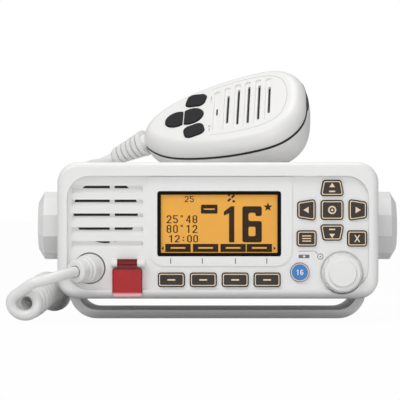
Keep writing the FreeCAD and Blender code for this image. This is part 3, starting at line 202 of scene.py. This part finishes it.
white_print = grained("white_print", (0.85, 0.86, 0.88), 0.45, 900, 0.02, 0.02)
red_button = grained("red_button", (0.5, 0.02, 0.02), 0.4, 900, 0.05, 0.05)
red = grained("red", (0.42, 0.003, 0.006), 0.22, 500, 0.01, 0.05, 0.03, Specular_IOR_Level=0.25)
lens = clear_lens("lens")

# Painted shade: the panel's chin and the bracket's front edge are darkened towards the floor, where shade
# falls on them.
coloured_over(panel_white, (0.5, 0.5, 0.51), 10.5, 15.5, 1.0, 0.0, "MULTIPLY")
coloured_over(bracket_white, (0.6, 0.6, 0.61), 0.5, 4.0, 1.0, 0.0, "MULTIPLY")

# The cover's hinge is a darker red, and its lower lip is pale.
coloured_over(red, (0.16, 0.003, 0.006), 24.6, 25.4, 0.0, 1.0)
coloured_over(red, (0.78, 0.46, 0.45), 14.2, 13.2, 0.0, 1.0)

LOOKS = {
    "chassis": case_white, "front_panel": panel_white, "cord_gland": moulded_white,
    # Painted shade: the right clamp knob takes the greyer case_white for its side turned away from the key
    # lamp.
    "volume_dial": moulded_white, "left_clamp_knob": moulded_white, "right_clamp_knob": case_white,
    "mounting_bracket": bracket_white, "mic_front_shell": mic_white, "mic_rear_shell": mic_white,
    "mic_boot": vinyl, "mic_hanger_button": mic_white, "key_channel_16": key_blue,
    "distress_cover": red, "distress_button": red_button, "display_lens": lens, "display_mask": black,
    "lcd_module": lcd, "antenna_connector": nickel, "pivot_inserts": brass, "rear_glands": rubber,
    "main_circuit_board": board, "key_circuit_board": board, "mic_circuit_board": board,
    "speaker": cone_black, "speaker_mesh": cone_black, "mic_speaker": cone_black,
    "mic_grille_mesh": cone_black, "front_gasket": rubber, "keypad_mat": rubber, "mic_seal": rubber,
    "pivot_washers": rubber, "mic_ptt_button": mic_dark,
}


def look_of(name):
    """The material of a CAD node: its own, its family's, or steel."""
    if name in LOOKS:
        return LOOKS[name]
    if name.startswith(("key_", "soft_key")):
        return key_dark
    if name.startswith("mic_key"):
        return mic_dark
    return steel


for name, node_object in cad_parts.items():
    node_object.data.materials.clear()
    node_object.data.materials.append(look_of(name))


# Flat marks

FINE = 0.03   # how far the finest marks are raised
BOLD = 0.05


def flat_piece(name, loops, look, body, raised, place):
    """Closed loops as one flat piece that rides on a body, nested loops making holes."""
    curve = bpy.data.curves.new(name, "CURVE")
    curve.dimensions = "2D"
    curve.fill_mode = "BOTH"
    curve.extrude = raised * MM / 2
    for loop in loops:
        line = curve.splines.new("POLY")
        line.points.add(len(loop) - 1)
        for point, (across, up) in zip(line.points, loop):
            point.co = (across * MM, up * MM, 0, 1)
        line.use_cyclic_u = True
    mesh = mesh_of(curve)
    mesh.transform(place)
    mesh.materials.clear()
    mesh.materials.append(look)
    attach(added(name, mesh), body)


def on_front(name, loops, y, look, body="radio", raised=FINE):
    """Marks in X and Z on the radio's front, at a depth."""
    turn = Matrix.Rotation(math.pi / 2, 4, "X")
    flat_piece(name, loops, look, body, raised, Matrix.Translation((0, (y - raised / 2) * MM, 0)) @ turn)


def rounded(loop, radius, steps=5):
    """The loop with each corner rounded."""
    out = []
    count = len(loop)
    for k in range(count):
        a, b, c = (Vector(loop[i % count]) for i in (k - 1, k, k + 1))
        back, ahead = (a - b).normalized(), (c - b).normalized()
        most = 0.45 * min((a - b).length, (c - b).length)
        reach = min(radius / math.tan(back.angle(ahead) / 2), most)
        start, end = b + back * reach, b + ahead * reach
        for i in range(steps + 1):
            t = i / steps
            spot = start * (1 - t) ** 2 + b * 2 * t * (1 - t) + end * t ** 2
            out.append((spot.x, spot.y))
    return out


def shrunk(loop, amount):
    """A loop that runs anticlockwise, drawn in by an amount."""
    out = []
    for k, here in enumerate(loop):
        before, after = Vector(loop[k - 1]), Vector(loop[(k + 1) % len(loop)])
        here = Vector(here)
        coming, going = (here - before).normalized(), (after - here).normalized()
        outward = Vector((coming.y, -coming.x))
        middle = (outward + Vector((going.y, -going.x))).normalized()
        spot = here - middle * amount / max(0.3, middle.dot(outward))
        out.append((spot.x, spot.y))
    return out


def box_loop(left, right, low, high):
    return [(left, low), (right, low), (right, high), (left, high)]


def circle(x, z, radius, count=48):
    angles = [2 * math.pi * k / count for k in range(count)]
    return [(x + radius * math.cos(a), z + radius * math.sin(a)) for a in angles]


# The front keys' rings and symbols

RING_OUT, RING_OUT_ROUND = 0.42, 1.0    # each edge of a ring, in from the key's edge, and its corners
RING_IN, RING_IN_ROUND = 0.86, 0.75
DASH = (1.9, 0.35)                      # half the size of a soft key's dash
KEY_RAISED = 0.04
SOFT_KEYS, SOFT_KEY_STEP = 4, 15.55

# Each key's middle, half widths at the bottom and top, and half heights at the left and right.
KEYS = {
    "key_up": (55.6, 64.9, 5.75, 4.3, 3.75, 3.75),
    "key_down": (55.6, 43.2, 4.3, 5.75, 3.75, 3.75),
    "key_left": (43.1, 54.2, 4.3, 4.3, 3.8, 5.2),
    "key_right": (68.1, 54.2, 4.3, 4.3, 5.2, 3.8),
    "key_enter": (55.6, 54.2, 5.4, 5.4, 4.65, 4.65),
    "key_menu": (43.2, 40.3, 4.7, 4.7, 3.75, 3.75),
    "key_clear": (67.8, 40.3, 4.7, 4.7, 3.75, 3.75),
}
for k in range(SOFT_KEYS):
    KEYS[f"soft_key_{k + 1}"] = (-22.7 + k * SOFT_KEY_STEP, 20.15, 6.4, 6.4, 3.35, 3.35)

CROSS = [(66.4, 38.7), (66.9, 38.5), (67.8, 39.8), (68.7, 38.5), (69.2, 38.7), (68.15, 40.3),
         (69.2, 41.9), (68.7, 42.1), (67.8, 40.8), (66.9, 42.1), (66.4, 41.9), (67.45, 40.3)]
SYMBOLS = {
    "key_up": [[(54.2, 65.3), (57.0, 65.3), (55.6, 67.4)], box_loop(54.1, 57.1, 62.9, 63.6)],
    "key_down": [[(54.2, 42.6), (55.6, 40.5), (57.0, 42.6)], box_loop(54.1, 57.1, 44.4, 45.1)],
    "key_left": [[(41.6, 54.2), (44.2, 52.6), (44.2, 55.8)]],
    "key_right": [[(69.6, 54.2), (67.0, 55.8), (67.0, 52.6)]],
    "key_enter": [circle(55.6, 54.2, 2.0, 32), circle(55.6, 54.2, 1.3, 32), circle(55.6, 54.2, 0.6, 20)],
    "key_menu": [box_loop(41.0, 45.4, z, z + 0.5) for z in (38.8, 40.05, 41.3)],
    "key_clear": [CROSS],
}
for name, (x, z, low_half, high_half, left_half, right_half) in KEYS.items():
    edge = [(x - low_half, z - left_half), (x + low_half, z - right_half),
            (x + high_half, z + right_half), (x - high_half, z + left_half)]
    ring = [rounded(shrunk(edge, RING_OUT), RING_OUT_ROUND), rounded(shrunk(edge, RING_IN), RING_IN_ROUND)]
    dash = box_loop(x - DASH[0], x + DASH[0], z - DASH[1], z + DASH[1])
    on_front(f"{name}_ring", ring, KEY_Y, cream, name + "_body", KEY_RAISED)
    on_front(f"{name}_mark", SYMBOLS.get(name, [dash]), KEY_Y, cream, name + "_body", KEY_RAISED)

BLUE_X, BLUE_Z = 39.9, 23.8
on_front("blue_ring", [circle(BLUE_X, BLUE_Z, 4.4), circle(BLUE_X, BLUE_Z, 3.95)], KEY_Y, cream,
         "key_channel_16_body", KEY_RAISED)


# Figures, each drawn as loops in a box one unit wide and two high. The mark ^ stands for degrees.

FIGURES = {
    "0": [[(0, 0.3), (0.3, 0), (0.7, 0), (1, 0.3), (1, 1.7), (0.7, 2), (0.3, 2), (0, 1.7)],
          [(0.26, 0.4), (0.4, 0.24), (0.6, 0.24), (0.74, 0.4), (0.74, 1.6), (0.6, 1.76), (0.4, 1.76),
           (0.26, 1.6)]],
    "1": [[(0.42, 0), (0.7, 0), (0.7, 2), (0.5, 2), (0.1, 1.66), (0.1, 1.4), (0.42, 1.62)]],
    "2": [[(0, 0), (1, 0), (1, 0.24), (0.34, 0.24), (1, 1.1), (1, 1.7), (0.7, 2), (0.3, 2), (0, 1.7),
           (0, 1.4), (0.26, 1.4), (0.4, 1.76), (0.6, 1.76), (0.74, 1.6), (0.74, 1.2), (0, 0.26)]],
    "4": [[(0.62, 0), (0.86, 0), (0.86, 0.5), (1, 0.5), (1, 0.72), (0.86, 0.72), (0.86, 2), (0.6, 2),
           (0, 0.72), (0, 0.5), (0.62, 0.5)], [(0.26, 0.72), (0.62, 0.72), (0.62, 1.5)]],
    "5": [[(0, 0.3), (0.3, 0), (0.7, 0), (1, 0.3), (1, 0.95), (0.7, 1.25), (0.26, 1.25), (0.26, 1.76),
           (0.95, 1.76), (0.95, 2), (0, 2), (0, 1.02), (0.6, 1.02), (0.74, 0.86), (0.74, 0.4), (0.6, 0.24),
           (0.4, 0.24), (0.26, 0.5), (0, 0.5)]],
    "6": [[(0, 0.35), (0.3, 0), (0.7, 0), (1, 0.35), (1, 0.95), (0.75, 1.22), (0.32, 1.22), (0.32, 1.55),
           (0.42, 1.74), (0.6, 1.74), (0.7, 1.6), (0.98, 1.6), (0.98, 1.72), (0.7, 2), (0.3, 2), (0, 1.68)],
          [(0.32, 0.4), (0.42, 0.26), (0.58, 0.26), (0.68, 0.4), (0.68, 0.86), (0.58, 0.98), (0.32, 0.98)]],
    "8": [[(0, 0.3), (0.3, 0), (0.7, 0), (1, 0.3), (1, 0.85), (0.88, 1.0), (1, 1.15), (1, 1.7), (0.7, 2),
           (0.3, 2), (0, 1.7), (0, 1.15), (0.12, 1.0), (0, 0.85)],
          [(0.26, 0.4), (0.4, 0.24), (0.6, 0.24), (0.74, 0.4), (0.74, 0.78), (0.6, 0.9), (0.4, 0.9),
           (0.26, 0.78)],
          [(0.26, 1.22), (0.4, 1.1), (0.6, 1.1), (0.74, 1.22), (0.74, 1.6), (0.6, 1.76), (0.4, 1.76),
           (0.26, 1.6)]],
    ":": [box_loop(0.35, 0.65, 0.4, 0.7), box_loop(0.35, 0.65, 1.2, 1.5)],
    "^": [box_loop(0.2, 0.7, 1.5, 2), box_loop(0.35, 0.55, 1.65, 1.85)],
}


def number(text, x, z, wide, high, gap):
    """A row of figures from its lower left corner."""
    loops = []
    for k, figure in enumerate(text):
        left = x + k * (wide + gap)
        loops += [[(left + a * wide, z + b * high / 2) for a, b in loop] for loop in FIGURES[figure]]
    return loops


on_front("blue_number", number("16", BLUE_X - 1.75, BLUE_Z - 1.3, 1.45, 2.6, 0.5), KEY_Y, white_print,
         "key_channel_16_body", KEY_RAISED)


# The display

MENU_LEFTS, MENU_WIDE = (-25.7, -12.2, 1.2, 14.0), 12.4
MENU_LOW, MENU_HIGH = 33.7, 37.65


def star(x, z, radius, notch=0.42):
    """A star of five points."""
    out = []
    for k in range(10):
        reach = radius if k % 2 == 0 else radius * notch
        out.append((x + reach * math.sin(math.pi * k / 5), z + reach * math.cos(math.pi * k / 5)))
    return out


BIG_ONE = [(5.4, 38.4), (8.0, 38.4), (8.0, 56.0), (6.3, 56.0), (2.9, 53.4), (2.9, 51.4), (5.4, 52.6)]
BIG_SIX = [(11.9, 38.4), (21.4, 38.4), (21.4, 48.8), (14.9, 48.8), (14.9, 52.8), (18.3, 52.8), (18.3, 51.2),
           (21.4, 51.2), (21.4, 56.0), (11.9, 56.0)]
screen = [BIG_ONE, rounded(BIG_SIX, 1.1, 3), rounded(box_loop(14.9, 18.3, 41.4, 46.0), 0.8, 3)]
screen.append(star(24.4, 55.6, 2.3))
screen += number("25", -16.2, 58.0, 1.9, 3.0, 0.6)
screen += number("25^48", -25.0, 47.7, 2.3, 3.9, 0.85)
screen += number("80^12", -25.0, 43.0, 2.3, 3.9, 0.85)
screen += number("12:00", -24.0, 38.4, 2.3, 3.5, 0.7)
screen += [rounded(box_loop(-8.3, -0.2, 52.4, 56.8), 0.6, 3), box_loop(-6.9, -1.6, 54.3, 54.9)]

# A satellite: two panels and two corners.
screen += [[(5.2, 58.1), (6.6, 59.4), (5.9, 60.1), (4.5, 58.8)],
           [(7.0, 59.8), (8.4, 61.1), (7.7, 61.8), (6.3, 60.5)],
           box_loop(7.1, 8.3, 57.9, 58.9), box_loop(4.9, 5.9, 60.9, 61.8)]

for left in MENU_LEFTS:
    screen.append(box_loop(left, left + MENU_WIDE, MENU_LOW, MENU_HIGH))
    screen.append(box_loop(left + 2.6, left + MENU_WIDE - 2.6, MENU_LOW + 1.6, MENU_LOW + 2.4))
screen += [[(-27.6, 35.5), (-26.5, 34.5), (-26.5, 36.5)], [(28.2, 35.5), (27.1, 36.5), (27.1, 34.5)]]
on_front("display_ink", screen, GLASS_Y, ink)


# Printed marks on the panel

TICK_LOW, TICK_HIGH, TICK_HALF = 28.0, 30.6, 0.24
ticks = [box_loop(x - TICK_HALF, x + TICK_HALF, TICK_LOW, TICK_HIGH) for x in (-23.05, -7.6, 8.5, 23.8)]
on_front("soft_key_ticks", ticks, PLATE_Y, grey_print)

SIGN_X, SIGN_Z = 49.9, 31.5
volume_sign = [circle(SIGN_X, SIGN_Z, 1.5, 36), circle(SIGN_X, SIGN_Z, 1.15, 36),
               circle(SIGN_X, SIGN_Z, 0.4, 20), [(47.2, 33.9), (48.6, 32.6), (48.8, 32.8), (47.4, 34.1)]]
on_front("volume_sign", volume_sign, FLOOR_Y, grey_print)

power_sign = [rounded(box_loop(39.3, 44.6, 30.7, 32.4), 0.3, 3), circle(42.0, 31.55, 0.55, 20),
              box_loop(39.3, 47.0, 34.0, 34.25)]
on_front("power_sign", power_sign, FLOOR_Y, grey_print)

border = [rounded(box_loop(-29.6, 30.8, 31.6, 63.4), 1.5), rounded(box_loop(-27.9, 29.1, 33.3, 61.7), 0.5)]
on_front("display_border", border, PLATE_Y, black, raised=BOLD)

GLAND_X, GLAND_Z = -62.5, 25.8
gland_seam = [circle(GLAND_X, GLAND_Z, 7.75, 64), circle(GLAND_X, GLAND_Z, 7.05, 64)]
on_front("gland_seam", gland_seam, FLOOR_Y, grey_print)


# The microphone's face

MIC_AT = Vector((-0.036, 0.0, 0.0885))
MIC_TURN = (Matrix.Rotation(math.radians(-12.6), 4, "Z") @ Matrix.Rotation(math.radians(-12.4), 4, "Y")
            @ Matrix.Rotation(math.radians(37.7), 4, "X"))
MIC_LONG, MIC_HALF_WIDE = 85.0, 30.0
MIC_FACE = 9.01     # just above the face
TROUGH = 8.27       # just above the floor of the slots' troughs
LINE_INSET, LINE_WIDE = 7.6, 0.3
KEYS_END = 36       # where the keys end, along the microphone
SEAL_FROM, SEAL_LOW, SEAL_HIGH = 70, -6, 22
SEAL_HALF, SEAL_THICK = 1.7, 0.6

# Half the outline, from the cord's end, as shares of the length and of the half width.
OUTLINE = ((0.0, 0.0), (0.04, 0.3), (0.14, 0.58), (0.3, 0.8), (0.5, 0.95), (0.7, 1.0), (0.86, 0.92),
           (0.96, 0.64), (1.0, 0.0))


def mic_outline(inset, steps=8):
    """The microphone's outline drawn in by an inset, smoothed through its points."""
    upper = [(inset + u * (MIC_LONG - 2 * inset), v * (MIC_HALF_WIDE - inset)) for u, v in OUTLINE]
    points = [Vector(p) for p in upper + [(u, -v) for u, v in reversed(upper[1:-1])]]
    count = len(points)
    out = []
    for k in range(count):
        a, b, c, d = (points[(k + i) % count] for i in (-1, 0, 1, 2))
        for i in range(steps):
            t = i / steps
            bend = (2 * a - 5 * b + 4 * c - d) * t ** 2 + (3 * b - 3 * c + d - a) * t ** 3
            spot = 0.5 * (2 * b + (c - a) * t + bend)
            out.append((spot.x, spot.y))
    return out


def on_mic(w):
    """The place of the microphone's own axes, raised by w."""
    return Matrix.Translation(MIC_AT) @ MIC_TURN @ Matrix.Translation((0, 0, w * MM))


def face_line():
    """The line round the face, which stops short of the keys."""
    outer = [p for p in mic_outline(LINE_INSET) if p[0] > KEYS_END]
    inner = [p for p in mic_outline(LINE_INSET + LINE_WIDE) if p[0] > KEYS_END]
    return [outer + inner[::-1]]


HIGH_MARK = [box_loop(36.6, 37.2, 8.6, 9.4), box_loop(36.6, 37.2, 10.4, 14.2)]
LOW_MARK = [circle(36.9, -12.3, 0.8, 20), box_loop(36.6, 37.2, -16.6, -13.9)]
MIC_MARKS = {
    "mic_face_line": (face_line(), pale_print, MIC_FACE),
    "mic_high_mark": (HIGH_MARK, pale_print, MIC_FACE),
    "mic_low_mark": (LOW_MARK, pale_print, MIC_FACE),
    "mic_short_slot": ([rounded(box_loop(39.8, 40.6, -3.2, 2.2), 0.3, 3)], mic_dark, TROUGH),
}
for name, (loops, look, raised_to) in MIC_MARKS.items():
    flat_piece(name, loops, look, "microphone", FINE, on_mic(raised_to))


def end_seal():
    """The thick black seal round the upper corner of the microphone's speaker end."""
    loop = [p for p in mic_outline(-0.35) if p[0] > SEAL_FROM and SEAL_LOW < p[1] < SEAL_HIGH]
    loop.sort(key=lambda p: math.atan2(p[1], p[0] - 50))
    verts, faces = [], []
    for k, (u, v) in enumerate(loop):
        half = SEAL_HALF * math.sin(math.pi * k / (len(loop) - 1)) ** 0.5 + 0.1
        verts += [(u * MM, v * MM, -half * MM), (u * MM, v * MM, half * MM)]
        if k:
            faces.append((2 * k - 2, 2 * k - 1, 2 * k + 1, 2 * k))
    mesh = bpy.data.meshes.new("mic_end_seal")
    mesh.from_pydata(verts, [], faces)
    mesh.transform(on_mic(0))
    mesh.materials.append(rubber)
    item = added("mic_end_seal", mesh)
    thick = item.modifiers.new("thick", "SOLIDIFY")
    thick.thickness = SEAL_THICK * MM
    thick.offset = 0
    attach(item, "microphone")


end_seal()


# The cord: a lead from the gland, the coil beside the case and a lead to the microphone's boot

WIRE = 2.6                      # the wire's radius
COIL_RADIUS, COIL_PITCH = 5.65, 6.0
COIL_START, COIL_LAG = 120, 30  # the angle of the first turn, and what the coil loses along its length
FIRST_TURN_WIDER = 0.22
GLAND_LINE = Vector((-0.56, -0.82, -0.12)).normalized()
GLAND_MOUTH = Vector((GLAND_X, FLOOR_Y, GLAND_Z)) + GLAND_LINE * 11.1
BOOT_LINE = Vector((-0.80, 0.47, -0.36)).normalized()
BOOT_TIP = MIC_AT / MM + BOOT_LINE * 21
GLAND_RUN, COIL_RUN_IN, COIL_RUN_OUT, BOOT_RUN = 6.2, 5.4, 10, 9
FRONT_LEAD = ((-77.2, -15.5, 22.4), (-82.5, -17.5, 20.7))
COIL_ROUTE = ((-93.5, -15.0, 9.0), (-90.5, -3.0, 9.6), (-86.5, 20.0, 14.4), (-84.4, 42.0, 15.4),
              (-84.4, 66.0, 11.6), (-84.8, 90.0, 9.0), (-84.8, 108.0, 9.0))
REAR_LEAD = ((-79.1, 107.0, 42.0), (-76.7, 100.5, 60.0), (-71.6, 92.5, 73.0), (-66.2, 83.5, 77.2))


def from_face(points):
    return [Vector((x, FACE_Y + y, z)) for x, y, z in points]


def along_spline(points, density):
    """Points read from a NURBS line through Blender, in millimetres."""
    curve = bpy.data.curves.new("route", "CURVE")
    curve.dimensions = "3D"
    curve.resolution_u = density
    line = curve.splines.new("NURBS")
    line.points.add(len(points) - 1)
    for spot, point in zip(line.points, points):
        spot.co = (*point, 1)
    line.order_u = 3
    line.use_endpoint_u = True
    mesh = mesh_of(curve)
    out = [v.co.copy() for v in mesh.vertices]
    bpy.data.meshes.remove(mesh)
    return out


def measured(points):
    """How far along the line each point lies."""
    out = [0.0]
    for a, b in zip(points, points[1:]):
        out.append(out[-1] + (b - a).length)
    return out


def walk(points, shares):
    """Each share of the line's length as its point and the number of the stretch that holds it."""
    at = measured(points)
    place = 0
    for share in shares:
        along = at[-1] * share
        while place < len(points) - 2 and at[place + 1] < along:
            place += 1
        part = (along - at[place]) / max(1e-9, at[place + 1] - at[place])
        yield points[place].lerp(points[place + 1], min(1.0, part)), place


def coil_path():
    """The wire's own line round the coil's middle line, in six steps to a quarter turn."""
    middle = along_spline(from_face(COIL_ROUTE), 64)
    quarters = 4 * int(measured(middle)[-1] / COIL_PITCH - 0.5) + 3
    steps = quarters * 6
    out = []
    for step, (centre, place) in enumerate(walk(middle, [k / steps for k in range(steps + 1)])):
        quarter = step / 6
        low, high = max(place - 3, 0), min(place + 4, len(middle) - 1)
        forward = (middle[high] - middle[low]).normalized()
        across = (Vector((1, 0, 0)) - forward * forward.x).normalized()
        up = across.cross(forward)
        angle = math.radians(COIL_START + 90 * quarter - COIL_LAG * quarter / quarters)
        wide = COIL_RADIUS * (1 + FIRST_TURN_WIDER * max(0.0, 1 - quarter / 3))
        out.append(centre + across * (wide * math.cos(angle)) + up * (COIL_RADIUS * math.sin(angle)))
    return out


def lead_path(points):
    """Straight runs joined by arcs, as the CAD's leads."""
    out = [points[0]]
    for before, corner, after in zip(points, points[1:], points[2:]):
        inward, outward = corner - before, after - corner
        turn = inward.angle(outward)
        reach = 0.45 * min(inward.length, outward.length)
        inward.normalize()
        outward.normalize()
        radius = reach / math.tan(turn / 2)
        centre = corner + (outward - inward).normalized() * (radius / math.cos(turn / 2))
        start, end = corner - inward * reach - centre, corner + outward * reach - centre
        for i in range(9):
            share = i / 8
            spoke = start * math.sin((1 - share) * turn) + end * math.sin(share * turn)
            out.append(centre + spoke / math.sin(turn))
    out.append(points[-1])
    return out


def even(points, step):
    """The same line with its points evenly spaced."""
    count = max(2, round(measured(points)[-1] / step))
    return [spot for spot, _ in walk(points, [k / count for k in range(count + 1)])]


def tube(name, points, radius, sides=16):
    """A tube of rings that keep their turn along the line, closed at both ends."""
    verts, faces = [], []
    normal = None
    for k, here in enumerate(points):
        forward = (points[min(k + 1, len(points) - 1)] - points[max(k - 1, 0)]).normalized()
        if normal is None:
            normal = forward.orthogonal().normalized()
        normal = (normal - forward * normal.dot(forward)).normalized()
        side = forward.cross(normal)
        for i in range(sides):
            turn = 2 * math.pi * i / sides
            verts.append(tuple((here + (normal * math.cos(turn) + side * math.sin(turn)) * radius) * MM))
        if k:
            base = (k - 1) * sides
            for i in range(sides):
                following = (i + 1) % sides
                faces.append((base + i, base + following, base + sides + following, base + sides + i))
    faces.append(tuple(reversed(range(sides))))
    faces.append(tuple(range(len(verts) - sides, len(verts))))
    mesh = bpy.data.meshes.new(name)
    mesh.from_pydata(verts, [], faces)
    mesh.polygons.foreach_set("use_smooth", [True] * len(mesh.polygons))
    mesh.validate()
    return added(name, mesh)


coil = coil_path()
first_line = (coil[1] - coil[0]).normalized()
last_line = (coil[-1] - coil[-2]).normalized()
enter = coil[0] - first_line * 2 * WIRE
leave = coil[-1] + last_line * 2 * WIRE
front = lead_path([GLAND_MOUTH, GLAND_MOUTH + GLAND_LINE * GLAND_RUN, *from_face(FRONT_LEAD),
                   enter - first_line * COIL_RUN_IN, enter])
rear = lead_path([leave, leave + last_line * COIL_RUN_OUT, *from_face(REAR_LEAD),
                  BOOT_TIP + BOOT_LINE * BOOT_RUN, BOOT_TIP])
line = even(front + coil + rear, 1.5)
cord = tube("cord", line, WIRE)
cord.data.materials.append(vinyl)
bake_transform(cord)
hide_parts("cord_front_lead", "cord_coil", "cord_rear_lead")


# The floor, seen as nearly white

FLOOR_HALF = 6
FLOOR_DROP = 0.2 * MM
FLOOR_GLOW = 0.97   # the share of white that the camera sees


def seen_directly(nodes, links):
    """One for a ray from the camera or through glass, and nought for any other."""
    path = nodes.new("ShaderNodeLightPath")
    either = nodes.new("ShaderNodeMath")
    either.operation = "MAXIMUM"
    links.new(path.outputs["Is Camera Ray"], either.inputs[0])
    links.new(path.outputs["Is Transmission Ray"], either.inputs[1])
    return either.outputs[0]


def seen_white(name, colour, share):
    """A material that the camera and glass see as nearly white, and that lights as its colour."""
    mat, tree, node = shader(name, colour, 0.9)
    glow = tree.nodes.new("ShaderNodeEmission")
    mix = tree.nodes.new("ShaderNodeMixShader")
    scaled = tree.nodes.new("ShaderNodeMath")
    scaled.operation = "MULTIPLY"
    scaled.inputs[1].default_value = share
    tree.links.new(seen_directly(tree.nodes, tree.links), scaled.inputs[0])
    tree.links.new(scaled.outputs[0], mix.inputs["Fac"])
    tree.links.new(node.outputs["BSDF"], mix.inputs[1])
    tree.links.new(glow.outputs["Emission"], mix.inputs[2])
    tree.links.new(mix.outputs["Shader"], tree.nodes["Material Output"].inputs["Surface"])
    return mat


floor_mesh = bpy.data.meshes.new("floor")
floor_corners = box_loop(-FLOOR_HALF, FLOOR_HALF, -FLOOR_HALF, FLOOR_HALF)
floor_mesh.from_pydata([(x, y, 0) for x, y in floor_corners], [], [(0, 1, 2, 3)])
floor_mesh.materials.append(seen_white("floor_white", (0.66, 0.66, 0.67), FLOOR_GLOW))
floor = added("floor", floor_mesh)
floor.location.z = -FLOOR_DROP


# Light and camera

# Each lamp's place, the height that it points at over the origin, its size and its power.
LAMPS = {
    "key": ((-0.7, -1.0, 1.5), 0.05, 1.0, 13),
    "front": ((0.3, -1.9, 0.5), 0.05, 1.2, 6.6),
    "top": ((0.1, 0.3, 1.6), 0.05, 1.1, 9),
    "low": ((0.0, -1.5, 0.1), 0.01, 0.5, 2.2),
}
for name, (at, aim, size, power) in LAMPS.items():
    data = bpy.data.lights.new(name, "AREA")
    data.size = size
    data.energy = power
    lamp = added(name, data)
    lamp.location = at
    lamp.rotation_euler = (Vector((0, 0, aim)) - Vector(at)).to_track_quat("-Z", "Y").to_euler()

WORLD_LIGHT, WORLD_SEEN = 0.36, 1.0
world = bpy.data.worlds.new("studio")
bpy.context.scene.world = world
world.use_nodes = True
nodes, links = world.node_tree.nodes, world.node_tree.links
background = nodes["Background"]
strength = nodes.new("ShaderNodeMapRange")
strength.inputs["To Min"].default_value = WORLD_LIGHT
strength.inputs["To Max"].default_value = WORLD_SEEN
links.new(seen_directly(nodes, links), strength.inputs["Value"])
links.new(strength.outputs["Result"], background.inputs["Strength"])
background.inputs["Color"].default_value = (1, 1, 1, 1)

camera_data = bpy.data.cameras.new("camera")
camera_data.lens = 234.3
camera_data.sensor_width = 36
camera_data.clip_start = 0.05
camera = added("camera", camera_data)
camera.location = (-0.00875, -1.327, 0.05905)
camera.rotation_euler = (math.pi / 2, 0, 0)
bpy.context.scene.camera = camera
bpy.context.scene.view_settings.view_transform = "Standard"

bpy.context.view_layer.update()
